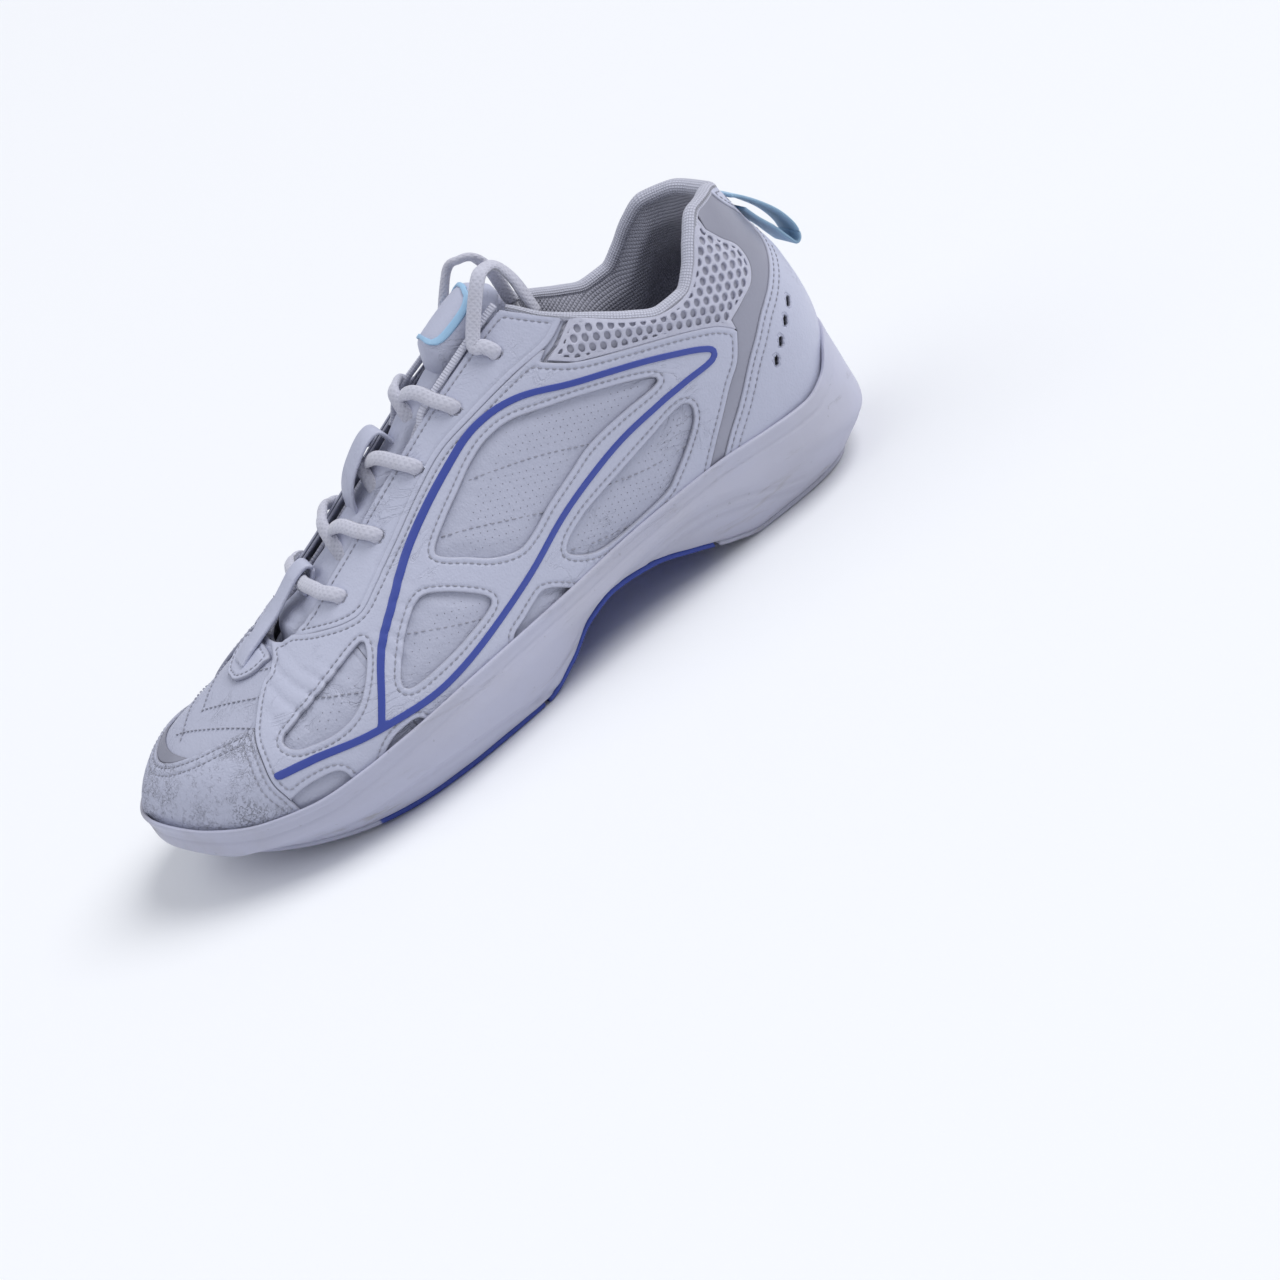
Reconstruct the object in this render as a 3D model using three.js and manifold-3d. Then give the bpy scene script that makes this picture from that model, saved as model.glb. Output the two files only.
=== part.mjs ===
// Low bowling shoe for the left foot: moulded sole, layered leather upper, padded tongue and one lace.
// Millimetres, +Z up. The toe points towards -X, the outer side of the foot is -Y and the sole stands on Z = 0.
import * as THREE from 'three';
import { mergeVertices } from 'three/addons/utils/BufferGeometryUtils.js';
import Module from 'manifold-3d';

const wasm = await Module();
wasm.setup();

// Driving dimensions
const GAP = 0.3;                 // clearance between touching pieces
const TREAD = 2.2;               // thickness of the pads under the midsole
const CUP = 6;                   // how far the upper stands down inside the sole's rim
const U_STEPS = 22;              // surface cells from heel to toe
const V_STEPS = 12;              // surface cells from one side of the sole over the ridge to the other
const LAYER = {                  // distances of each layer from the last, inner face then outer face
  lining: [-1.9, -0.6],
  stiffener: [-0.3, 0.7],
  base: [1.0, 2.0],
  overlay: [2.3, 3.3],
  trim: [3.6, 4.1],
};
const TO_ORIGIN = [-2.95, 1.5, 0]; // brings the middle of the finished shoe over the origin
const COLLAR_PAD = 5;            // how far the collar's foam pushes the lining inwards
const LACE_RADIUS = 1.15;
const EYELET_RADIUS = 2.4;
const TONGUE_DEPTH = { top: -5.4, middle: -8.8, under: -10 };

// Ribs of the last, heel first. Each rib rises from the sole on the outer side, crosses the ridge and
// comes down on the inner side. rise and crown are how square its shoulders are, lean how far it bulges.
const RIBS = [
  { outer: [133, 0], inner: [133, 0], foot: 31, ridge: [127, 0, 116], rise: 0.60, crown: 0.50, lean: 0.06 },
  { outer: [128, -17], inner: [128, 17], foot: 30, ridge: [120, 0, 117], rise: 0.62, crown: 0.60, lean: 0.07 },
  { outer: [114, -29], inner: [114, 27], foot: 28.5, ridge: [108, 0, 118], rise: 0.65, crown: 0.66, lean: 0.08 },
  { outer: [90, -34], inner: [90, 31], foot: 27, ridge: [88, 0, 119], rise: 0.66, crown: 0.68, lean: 0.08 },
  { outer: [62, -35], inner: [62, 30], foot: 26, ridge: [62, 0, 118], rise: 0.62, crown: 0.58, lean: 0.08 },
  { outer: [34, -36], inner: [34, 28.5], foot: 25, ridge: [36, 0, 113], rise: 0.50, crown: 0.42, lean: 0.10 },
  { outer: [6, -40], inner: [6, 31], foot: 23.5, ridge: [10, 1, 102], rise: 0.45, crown: 0.36, lean: 0.10 },
  { outer: [-22, -45], inner: [-22, 37], foot: 21.5, ridge: [-16, 3, 87], rise: 0.45, crown: 0.38, lean: 0.10 },
  { outer: [-50, -48], inner: [-50, 43], foot: 19.5, ridge: [-44, 5, 71], rise: 0.48, crown: 0.44, lean: 0.10 },
  { outer: [-78, -45], inner: [-78, 45], foot: 18.5, ridge: [-72, 6, 57], rise: 0.50, crown: 0.52, lean: 0.12 },
  { outer: [-104, -34], inner: [-104, 40], foot: 18.5, ridge: [-98, 7, 48.5], rise: 0.55, crown: 0.60, lean: 0.12 },
  { outer: [-125, -15], inner: [-125, 31], foot: 20, ridge: [-119, 8, 42.5], rise: 0.58, crown: 0.60, lean: 0.12 },
  { outer: [-135, 8], inner: [-135, 8], foot: 22, ridge: [-136, 8, 28.5], rise: 0.50, crown: 0.50, lean: 0.10 },
];
const HEEL_TURN = { x: -5, y: 17 };       // how the heel end of each foot line turns, per rib
const TOE_TURN = { y: 22, ridgeZ: -20 };
const HEEL_LEAN = [[30, 0], [50, 3], [70, 1.5], [88, -3.5], [105, -5.5], [120, -7]];   // heel profile: z, shift in x

// Outlines seen from the side, [x, z]
const TOPLINE = [[42, 109], [52, 102], [63, 95], [73, 89], [83, 85], [92, 85.5], [99, 90.5], [105, 97],
  [112, 102], [120, 102], [128, 98], [142, 95]];
const EYESTAY_EDGE = [[57, 99], [48, 94.5], [34, 92], [17, 88], [3, 84], [-11, 77], [-25, 69], [-38, 62],
  [-46, 58], [-52, 57], [-60, 57], [-71, 57]];
const COLLAR_EDGE = [[43, 91.5], [52, 86.5], [67, 82], [83, 77], [95, 72], [101, 67]];
const MESH_LOBE = [[101, 70.5], [108, 73], [114, 75.5], [117, 80], [116.5, 86], [113, 91], [110, 96]];
const STRIP_FRONT = [[101, 67], [96, 59], [90, 54], [83, 47], [77, 41], [68, 31], [62, 20]];
const STRIP_REAR = [[117, 110], [121, 98], [126, 90], [129, 83], [127, 77.5], [119, 71], [111, 66], [105, 61],
  [99, 56], [90, 47], [81, 39], [72, 29], [67, 20]];
const OVERLAY_FRONT = [[-52, 56], [-66, 51.5], [-79, 47], [-89, 44], [-94, 41], [-97, 38], [-98.5, 32],
  [-97, 26], [-95, 14]];
const WING_FRONT = [[-71, 57], [-77, 53], [-84, 50], [-91, 45.5], [-95, 42]];
const WINDOWS = {
  upper: [[70, 70], [62, 73.5], [48, 77.5], [36, 80], [25, 82], [16, 81], [8, 78], [-1, 73], [-10, 68], [-17, 63.5],
    [-17.5, 61], [-11, 57], [-5, 53], [3, 50.5], [10, 52], [19, 56], [30, 60], [41, 64], [55, 66.5], [68, 68]],
  rear: [[75, 57], [74, 52], [68, 46], [60, 40], [53, 36.5], [36, 34.5], [24, 35], [16, 40], [18, 43.5], [26, 47],
    [33, 49], [46, 52], [58, 55], [70, 58]],
  middle: [[-31, 54.5], [-26, 54], [-19, 50], [-13.5, 45], [-15, 42], [-27, 39], [-36, 37.5], [-48, 36.5],
    [-50, 39], [-44, 45.5], [-38, 50.5]],
  front: [[-51.5, 52], [-53, 49], [-58, 44], [-64, 39.5], [-70, 37], [-77, 36], [-86, 36.5], [-89, 38.5],
    [-87, 40.5], [-78, 43.5], [-66, 47.5], [-56, 51]],
};
const STRIPES = {
  front: [[-63, 33], [-59, 37], [-49, 48], [-37, 57], [-24, 66], [-11, 73.5], [2, 80], [11, 84], [19, 86],
    [27, 86.5], [35, 85.5], [47, 82], [59, 79], [71, 75.5], [83, 71], [88, 68.3], [90.3, 66]],
  rear: [[90.6, 66.6], [89, 64.6], [78, 64], [68, 63], [56, 61], [45, 58.5], [30, 54], [19, 50], [5, 44], [-8, 39.5],
    [-22, 35.5], [-35, 33.7], [-46, 33], [-60, 33.5], [-70, 32.5], [-83, 33.5], [-96, 33]],
};
const STRIPE_WIDTH = 2.7;
const VAMP_SEAM = -54;
const PULL_TAB = [[130.6, 95.2], [132.2, 95], [133.6, 91.5], [138.6, 84.5], [143.4, 78], [145.8, 72], [146.3, 67.4],
  [144.6, 67.2], [144, 71.5], [141.6, 77], [136.6, 83.5], [133.1, 88]];
const FEATHER = [[-141, 31], [-125, 26.5], [-110, 24], [-95, 23.8], [-75, 26], [-60, 28], [-30, 30.5], [10, 31.5],
  [50, 34], [75, 35], [95, 33.5], [112, 32.5], [122, 35], [131, 41], [143, 44]];   // upper edge of the sole
const WALL_RIDGE = [[-141, 21], [-120, 15], [-75, 16.5], [-24, 19.5], [20, 23], [55, 26], [91, 20], [143, 15.5]];
const GROUND = [[-141, 12], [-120, 8], [-100, 4], [-78, 0.8], [-62, 0], [-14, 0], [0, 5], [12, 12], [25, 15],
  [40, 13.5], [56, 8], [70, 2.5], [80, 0], [122, 0], [143, 1.5]];                  // underside of the shoe

// Outlines seen from above, [x, y]
const THROAT = [[60, -13], [34, -12], [14, -12], [-6, -12], [-28, -12], [-48, -12.5], [-60, -12.5], [-70, -9],
  [-73.5, 3], [-70, 14], [-60, 19], [-48, 17.5], [-28, 15], [-6, 12], [14, 10], [34, 10], [60, 9.5]];
const TOE_CAP_EDGE = [[-60, -80], [-91, -26], [-94, -21.5], [-103, -16], [-113, -9.5], [-121, -1], [-124, 8],
  [-121, 17], [-113, 26], [-103, 33], [-93, 38], [-90, 43], [-60, 90]];
const TONGUE = [[43, -20], [46, -8], [46, 10], [43, 21], [20, 24], [-20, 26], [-50, 27], [-68, 24], [-73, 16],
  [-73, -6], [-67, -16], [-50, -21], [-20, -22], [20, -23]];
const EYELETS = [-48, -28, -6, 14, 34];   // x of each row, front to back
const EYELET_RISE = 0.66;                // how far up the side the eyelets lie, from sole to ridge

// Smooth curve through hand-chosen points, as a function of the first coordinate
function curveThrough(points) {
  const sorted = [...points].sort((a, b) => a[0] - b[0]);
  const slopes = splineSlopes(sorted.map((p) => p[1]), sorted.map((p) => p[0]));
  return (x) => {
    const last = sorted.length - 2;
    let i = 0;
    while (i < last && x > sorted[i + 1][0]) i += 1;
    const span = sorted[i + 1][0] - sorted[i][0];
    const t = THREE.MathUtils.clamp((x - sorted[i][0]) / span, 0, 1);
    return hermite(sorted[i][1], slopes[i] * span, sorted[i + 1][1], slopes[i + 1] * span, t);
  };
}

// Slopes that never overshoot the points
function splineSlopes(values, places) {
  return values.map((value, i) => {
    if (i === 0 || i === values.length - 1) return 0;
    const before = (value - values[i - 1]) / (places[i] - places[i - 1]);
    const after = (values[i + 1] - value) / (places[i + 1] - places[i]);
    return before * after <= 0 ? 0 : 2 / (1 / before + 1 / after);
  });
}

function hermite(a, slopeA, b, slopeB, t) {
  const t2 = t * t;
  const t3 = t2 * t;
  return (2 * t3 - 3 * t2 + 1) * a + (t3 - 2 * t2 + t) * slopeA + (3 * t2 - 2 * t3) * b + (t3 - t2) * slopeB;
}

// Natural cubic spline over the rib numbers, with a stated slope at either end where one is given
function ribSpline(values, startSlope, endSlope) {
  const n = values.length;
  const diagonal = new Array(n).fill(4);
  const right = values.map((_, i) => 3 * ((values[i + 1] ?? 0) - (values[i - 1] ?? 0)));
  const above = new Array(n).fill(1);
  const below = new Array(n).fill(1);
  const clampEnd = (i, slope, towards) => {
    diagonal[i] = slope === undefined ? 2 : 1;
    (towards > 0 ? above : below)[i] = slope === undefined ? 1 : 0;
    right[i] = slope === undefined ? 3 * towards * (values[i + towards] - values[i]) : slope;
  };
  clampEnd(0, startSlope, 1);
  clampEnd(n - 1, endSlope, -1);
  for (let i = 1; i < n; i += 1) {
    const factor = below[i] / diagonal[i - 1];
    diagonal[i] -= factor * above[i - 1];
    right[i] -= factor * right[i - 1];
  }
  const slopes = new Array(n);
  for (let i = n - 1; i >= 0; i -= 1) {
    slopes[i] = (right[i] - (i < n - 1 ? above[i] * slopes[i + 1] : 0)) / diagonal[i];
  }
  return (t) => {
    const i = Math.min(Math.floor(t), n - 2);
    return hermite(values[i], slopes[i], values[i + 1], slopes[i + 1], t - i);
  };
}

const column = (pick, startSlope, endSlope) => ribSpline(RIBS.map(pick), startSlope, endSlope);
const ribs = {
  outerX: column((r) => r.outer[0], 0, 0),
  outerY: column((r) => r.outer[1], -HEEL_TURN.y, TOE_TURN.y),
  innerX: column((r) => r.inner[0], 0, 0),
  innerY: column((r) => r.inner[1], HEEL_TURN.y, -TOE_TURN.y),
  foot: column((r) => r.foot, 0, 0),
  ridgeX: column((r) => r.ridge[0], HEEL_TURN.x, 0),
  ridgeY: column((r) => r.ridge[1], 0, 0),
  ridgeZ: column((r) => r.ridge[2], 0, TOE_TURN.ridgeZ),
  rise: column((r) => r.rise),
  crown: column((r) => r.crown),
  lean: column((r) => r.lean),
};
const heelLean = curveThrough(HEEL_LEAN);
const featherAt = curveThrough(FEATHER);
const wallRidgeAt = curveThrough(WALL_RIDGE);
const groundAt = curveThrough(GROUND);
const toplineAt = curveThrough(TOPLINE);
const ridgeAt = curveThrough(RIBS.map((r) => [r.ridge[0], r.ridge[2]]));

// A point of the last: u runs 0 to 1 from heel to toe, v runs 0 at the outer foot, 1 at the ridge, 2 at the inner foot
function lastPoint(u, v) {
  const t = THREE.MathUtils.clamp(u, 0, 1) * (RIBS.length - 1);
  const isOuter = v <= 1;
  const w = isOuter ? v : 2 - v;
  const foot = new THREE.Vector3(isOuter ? ribs.outerX(t) : ribs.innerX(t), isOuter ? ribs.outerY(t) : ribs.innerY(t), ribs.foot(t));
  const ridge = new THREE.Vector3(ribs.ridgeX(t), ribs.ridgeY(t), ribs.ridgeZ(t));
  const across = new THREE.Vector2(ridge.x - foot.x, ridge.y - foot.y);
  const height = ridge.z - foot.z;
  const bulge = ribs.lean(t) * height * ribs.rise(t) / Math.max(across.length(), 12);
  const shoulder = new THREE.Vector3(foot.x - bulge * across.x, foot.y - bulge * across.y, foot.z + ribs.rise(t) * height);
  const brow = new THREE.Vector3(ridge.x - ribs.crown(t) * across.x, ridge.y - ribs.crown(t) * across.y, ridge.z);
  const point = new THREE.CubicBezierCurve3(foot, shoulder, brow, ridge).getPoint(w);
  const rearness = THREE.MathUtils.clamp((point.x - 40) / 90, 0, 1) ** 2;
  point.x += rearness * heelLean(point.z);
  return point;
}

function lastNormal(u, v) {
  const step = 0.002;
  const atEnd = u < step || u > 1 - step;
  const sideNormal = (vSide) => {
    const low = vSide <= 1 ? Math.max(vSide - step, 0) : Math.max(vSide - step, 1 + 1e-9);
    const high = vSide <= 1 ? Math.min(vSide + step, 1) : Math.min(vSide + step, 2);
    const alongU = lastPoint(u + step, vSide).sub(lastPoint(u - step, vSide));
    const alongV = lastPoint(u, high).sub(lastPoint(u, low));
    return alongV.cross(alongU).normalize();
  };
  const normal = sideNormal(v);
  if (atEnd) normal.add(sideNormal(2 - v));
  if (Math.abs(v - 1) < 1e-6) normal.add(sideNormal(1 + 1e-6));
  return normal.normalize();
}

const offsetPoint = (u, v, distance) => lastPoint(u, v).addScaledVector(lastNormal(u, v), distance);

// Collar padding: fullest 12 mm below the topline, nothing on the instep or low down
function collarPad(point) {
  const depth = toplineAt(point.x) - point.z;
  const behind = THREE.MathUtils.smoothstep(point.x, 50, 72);
  const swell = THREE.MathUtils.smoothstep(depth, -2, 8) * (1 - THREE.MathUtils.smoothstep(depth, 14, 34));
  return COLLAR_PAD * behind * swell;
}

const closerAtEnds = (t) => t - 0.1 * Math.sin(2 * Math.PI * t);

// Closed solid between two distances from the last, over the whole last from one foot line to the other
function shell(inner, outer, padding = [0, 0]) {
  const positions = [];
  const faces = [];
  const index = [];
  const addPoint = (p) => positions.push(p.x, p.y, p.z) / 3 - 1;
  for (const [side, distance] of [inner, outer].entries()) {
    index.push([]);
    for (let i = 0; i <= U_STEPS; i += 1) {
      const row = [];
      for (let j = 0; j <= V_STEPS; j += 1) {
        const isEnd = i === 0 || i === U_STEPS;
        if (isEnd && j > V_STEPS / 2) {
          row.push(row[V_STEPS - j]);
          continue;
        }
        const u = closerAtEnds(i / U_STEPS);
        const v = 2 * j / V_STEPS;
        const swell = padding[side] * collarPad(lastPoint(u, v));
        row.push(addPoint(offsetPoint(u, v, distance - swell)));
      }
      index[side].push(row);
    }
  }
  const addQuad = (a, b, c, d) => {
    if (a !== b && b !== c && a !== c) faces.push(a, b, c);
    if (a !== c && c !== d && a !== d) faces.push(a, c, d);
  };
  const [low, high] = index;
  for (let i = 0; i < U_STEPS; i += 1) {
    for (let j = 0; j < V_STEPS; j += 1) {
      addQuad(high[i][j], high[i][j + 1], high[i + 1][j + 1], high[i + 1][j]);
      addQuad(low[i][j], low[i + 1][j], low[i + 1][j + 1], low[i][j + 1]);
    }
    addQuad(high[i][0], high[i + 1][0], low[i + 1][0], low[i][0]);
    addQuad(high[i + 1][V_STEPS], high[i][V_STEPS], low[i][V_STEPS], low[i + 1][V_STEPS]);
  }
  return meshSolid(positions, faces);
}

function meshSolid(positions, faces) {
  const geometry = new THREE.BufferGeometry();
  geometry.setAttribute('position', new THREE.Float32BufferAttribute(positions, 3));
  geometry.setIndex(faces);
  return toSolid(geometry);
}

function toSolid(geometry) {
  geometry.deleteAttribute('normal');
  geometry.deleteAttribute('uv');
  const merged = mergeVertices(geometry, 1e-4);
  const vertProperties = new Float32Array(merged.attributes.position.array);
  return new wasm.Manifold(new wasm.Mesh({ numProp: 3, vertProperties, triVerts: new Uint32Array(merged.index.array) }));
}

// Foot line of the last seen from above, moved outwards
function footPoint(u, side, distance) {
  const step = 0.002;
  const v = side < 0 ? 0 : 2;
  const here = lastPoint(u, v);
  if (u < step) return new THREE.Vector2(here.x + distance, here.y);
  if (u > 1 - step) return new THREE.Vector2(here.x - distance, here.y);
  const along = lastPoint(u + step, v).sub(lastPoint(u - step, v)).setZ(0).normalize();
  return new THREE.Vector2(here.x + side * along.y * distance, here.y - side * along.x * distance);
}

// The sole's wall stands out further round the heel
const heelFlare = (x) => THREE.MathUtils.smoothstep(x, 85, 130);

// The u where the outer foot line reaches x
function uAt(x) {
  let low = 0;
  let high = 1;
  for (let k = 0; k < 40; k += 1) {
    const middle = (low + high) / 2;
    if (lastPoint(middle, 0).x > x) low = middle; else high = middle;
  }
  return low;
}

// Closed slab that follows the foot line: rings of { distance, height(x) } from the underside to the top face
function slab(rings, fromX = 200, toX = -200, steps = 24) {
  const start = uAt(fromX);
  const end = uAt(toX);
  const positions = [];
  const faces = [];
  const loop = [];
  for (let i = 0; i <= steps; i += 1) loop.push([start + (end - start) * i / steps, -1]);
  for (let i = steps; i >= 0; i -= 1) loop.push([start + (end - start) * i / steps, 1]);
  const n = loop.length;
  rings.forEach((ring) => loop.forEach(([u, side]) => {
    const spread = ring.flare ? ring.flare * heelFlare(lastPoint(u, 0).x) : 0;
    const p = footPoint(u, side, ring.distance + spread);
    positions.push(p.x, p.y, ring.height(p.x));
  }));
  for (let r = 0; r + 1 < rings.length; r += 1) {
    for (let k = 0; k < n; k += 1) {
      const a = r * n + k;
      const b = r * n + (k + 1) % n;
      faces.push(a, a + n, b + n, a, b + n, b);
    }
  }
  const top = (rings.length - 1) * n;
  for (let k = 0; k < steps; k += 1) {
    const mate = n - 1 - k;
    faces.push(k, k + 1, mate - 1, k, mate - 1, mate);
    faces.push(top + k, top + mate, top + mate - 1, top + k, top + mate - 1, top + k + 1);
  }
  return meshSolid(positions, faces);
}

// Prism over an outline seen from the side, between two y, or seen from above, between two z
function sidePrism(outline, lowY, highY) {
  const geometry = new THREE.ExtrudeGeometry(toShape(outline), { depth: highY - lowY, bevelEnabled: false });
  geometry.rotateX(Math.PI / 2);
  geometry.translate(0, highY, 0);
  return toSolid(geometry);
}

function planPrism(outline, lowZ = -20, highZ = 160) {
  const geometry = new THREE.ExtrudeGeometry(toShape(outline), { depth: highZ - lowZ, bevelEnabled: false });
  geometry.translate(0, 0, lowZ);
  return toSolid(geometry);
}

const apart = (p, q) => Math.hypot(p[0] - q[0], p[1] - q[1]) > 0.25;
const withoutRepeats = (outline) => outline.filter((p, i) => apart(p, outline[(i + 1) % outline.length]));
const toShape = (outline) => new THREE.Shape(withoutRepeats(outline).map(([a, b]) => new THREE.Vector2(a, b)));
const smooth = (points, perSpan = 1) => new THREE.SplineCurve(points.map(([a, b]) => new THREE.Vector2(a, b)))
  .getPoints((points.length - 1) * perSpan).map((p) => [p.x, p.y]);
const closedSmooth = (points, count) => new THREE.CatmullRomCurve3(points.map(([a, b]) => new THREE.Vector3(a, b, 0)), true)
  .getPoints(count).slice(0, -1).map((p) => [p.x, p.y]);

// Moves an outline outwards, or inwards for a negative distance
function grow(outline, distance) {
  const points = withoutRepeats(outline).map(([a, b]) => new THREE.Vector2(a, b));
  const turn = Math.sign(THREE.ShapeUtils.area(points));
  return points.map((p, i) => {
    const before = points[(i + points.length - 1) % points.length];
    const after = points[(i + 1) % points.length];
    const inEdge = p.clone().sub(before).normalize();
    const outEdge = after.clone().sub(p).normalize();
    const normal = new THREE.Vector2(inEdge.y + outEdge.y, -inEdge.x - outEdge.x).normalize();
    const stretch = 1 / Math.max(Math.sqrt((1 + inEdge.dot(outEdge)) / 2), 0.5);
    p = p.clone().addScaledVector(normal, turn * distance * stretch);
    return [p.x, p.y];
  });
}

const FAR = 90;
const SIDES = { outer: [-FAR, -GAP / 2], inner: [GAP / 2, FAR], both: [-FAR, FAR] };
const SIDE_NAMES = ['outer', 'inner'];
const shells = Object.fromEntries(['stiffener', 'base', 'overlay', 'trim'].map((name) => [name, shell(...LAYER[name])]));
shells.lining = shell(...LAYER.lining, [1, 1]);
shells.foam = shell(-GAP, LAYER.base[1], [1, 0]);

const mouthOutline = [...smooth(TOPLINE), [160, 95], [160, 160], [42, 160]];
const mouth = sidePrism(mouthOutline, -FAR, FAR);
const throat = planPrism([...THROAT.slice(0, 5), ...smooth(THROAT.slice(5, 13), 2), ...THROAT.slice(13)]);
const openings = mouth.add(throat);

const regionOn = (outline, side, inset = GAP / 2) => sidePrism(grow(outline, -inset), ...SIDES[side]);
const cutFrom = (layer, outline, side) => shells[layer].intersect(regionOn(outline, side)).subtract(openings);

// A spot above the last where it reaches x at v
function spot(x, v, distance) {
  let low = 0;
  let high = 1;
  for (let k = 0; k < 40; k += 1) {
    const middle = (low + high) / 2;
    if (lastPoint(middle, v).x > x) low = middle; else high = middle;
  }
  return offsetPoint(low, v, distance);
}

const eyeletV = [EYELET_RISE, 2 - EYELET_RISE];
const eyeletHoles = eyeletV.map((v) => EYELETS.map((x) => {
  const along = spot(x, v, 1).sub(spot(x, v, 0));
  const cylinder = new THREE.CylinderGeometry(EYELET_RADIUS, EYELET_RADIUS, 24, 6);
  cylinder.applyQuaternion(new THREE.Quaternion().setFromUnitVectors(new THREE.Vector3(0, 1, 0), along.normalize()));
  return toSolid(cylinder.translate(...spot(x, v, 0).toArray()));
}).reduce((a, b) => a.add(b)));

// Colours and finishes
const finish = (color, roughness, metalness = 0) => new THREE.MeshStandardMaterial({ color, roughness, metalness });
const LEATHER = finish(0xd9d9e6, 0.5);
const COATED = finish(0xd4d6e2, 0.55);
const SILVER = finish(0xa9a9b8, 0.42, 0.25);
const MESH = finish(0xd8d8e0, 0.85);
const LINING = finish(0xb9b9c2, 0.9);
const BLUE = finish(0x3c4a9c, 0.5);
const SKY = finish(0x9cc3dc, 0.7);
const SOLE = finish(0xd2d2de, 0.6);
const BOARD = finish(0xa58f73, 0.85);
const FOAM = finish(0xe6e2c8, 0.95);
const STEEL = finish(0x8c9096, 0.35, 1);
const CORD = finish(0xe2e2ea, 0.8);

const shoe = new THREE.Group();
function addPart(name, solid, material) {
  const mesh = solid.getMesh();
  const geometry = new THREE.BufferGeometry();
  geometry.setAttribute('position', new THREE.BufferAttribute(mesh.vertProperties, 3));
  geometry.setIndex(new THREE.BufferAttribute(mesh.triVerts, 1));
  geometry.translate(...TO_ORIGIN);
  const part = new THREE.Mesh(geometry, material);
  part.name = name;
  shoe.add(part);
}

function buildSole() {
  const level = (f, shift) => (x) => f(x) + shift;
  const footAt = curveThrough(RIBS.map((r) => [r.outer[0], r.foot]));
  const rim = slab([
    { distance: -4, flare: 1, height: level(groundAt, TREAD + GAP) },
    { distance: 3.2, flare: 4, height: (x) => (groundAt(x) + 2.2 * wallRidgeAt(x)) / 3.2 + 1 },
    { distance: 5, flare: 4, height: wallRidgeAt },
    { distance: 4.8, flare: 2.6, height: (x) => (wallRidgeAt(x) + featherAt(x)) / 2 },
    { distance: 5.4, flare: 1.5, height: level(featherAt, -0.8) },
    { distance: 4.6, flare: 1.2, height: featherAt },
  ]);
  const cavity = shell(-30, LAYER.overlay[1] + 3 * GAP).add(slab([
    { distance: LAYER.overlay[1] + 3 * GAP, height: level(footAt, -1) },
    { distance: LAYER.overlay[1] + 3 * GAP, height: level(footAt, 30) },
  ]));
  const shankLine = Array.from({ length: 9 }, (_, i) => 78 - 12 * i);
  const shankOutline = (low, high) => [...shankLine.map((x) => [x, footAt(x) + high]),
    ...shankLine.slice().reverse().map((x) => [x, footAt(x) + low])];
  const recess = sidePrism(grow(shankOutline(-2.6, 2), GAP), -8 - GAP, 8 + GAP);
  const pad = (fromX, toX, spare) => slab([
    { distance: spare - 5.2, flare: 1, height: level(groundAt, -spare) },
    { distance: spare - 4.2, flare: 1, height: level(groundAt, 0.8) },
    { distance: spare - 4.2, flare: 1, height: level(groundAt, TREAD + spare) },
  ], fromX, toX, 14);
  const pads = { slide_sole: [-15, -200], arch_plate: [62, -13], heel_rubber: [200, 64] };
  let midsole = rim.subtract(cavity).subtract(recess);
  Object.entries(pads).forEach(([name, [fromX, toX]]) => {
    addPart(name, pad(fromX, toX, 0), name === 'heel_rubber' ? SOLE : BLUE);
    midsole = midsole.subtract(pad(fromX, toX, GAP));
  });
  addPart('midsole', midsole, SOLE);
  addPart('shank', sidePrism(shankOutline(-2.4, -1.0), -8, 8), STEEL);
  const inside = LAYER.lining[0] - 4 * GAP;
  addPart('insole_board', slab([
    { distance: inside, height: level(footAt, 0) },
    { distance: inside, height: level(footAt, 2) },
  ], 200, -200, 20), BOARD);
  addPart('footbed', slab([
    { distance: inside - GAP, height: level(footAt, 2.3) },
    { distance: inside - GAP, height: level(footAt, 6.3) },
    { distance: inside - 1.6, height: level(footAt, 7.2) },
    { distance: inside - 9, height: level(footAt, 6) },
  ], 200, -200, 20), LINING);
}

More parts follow.
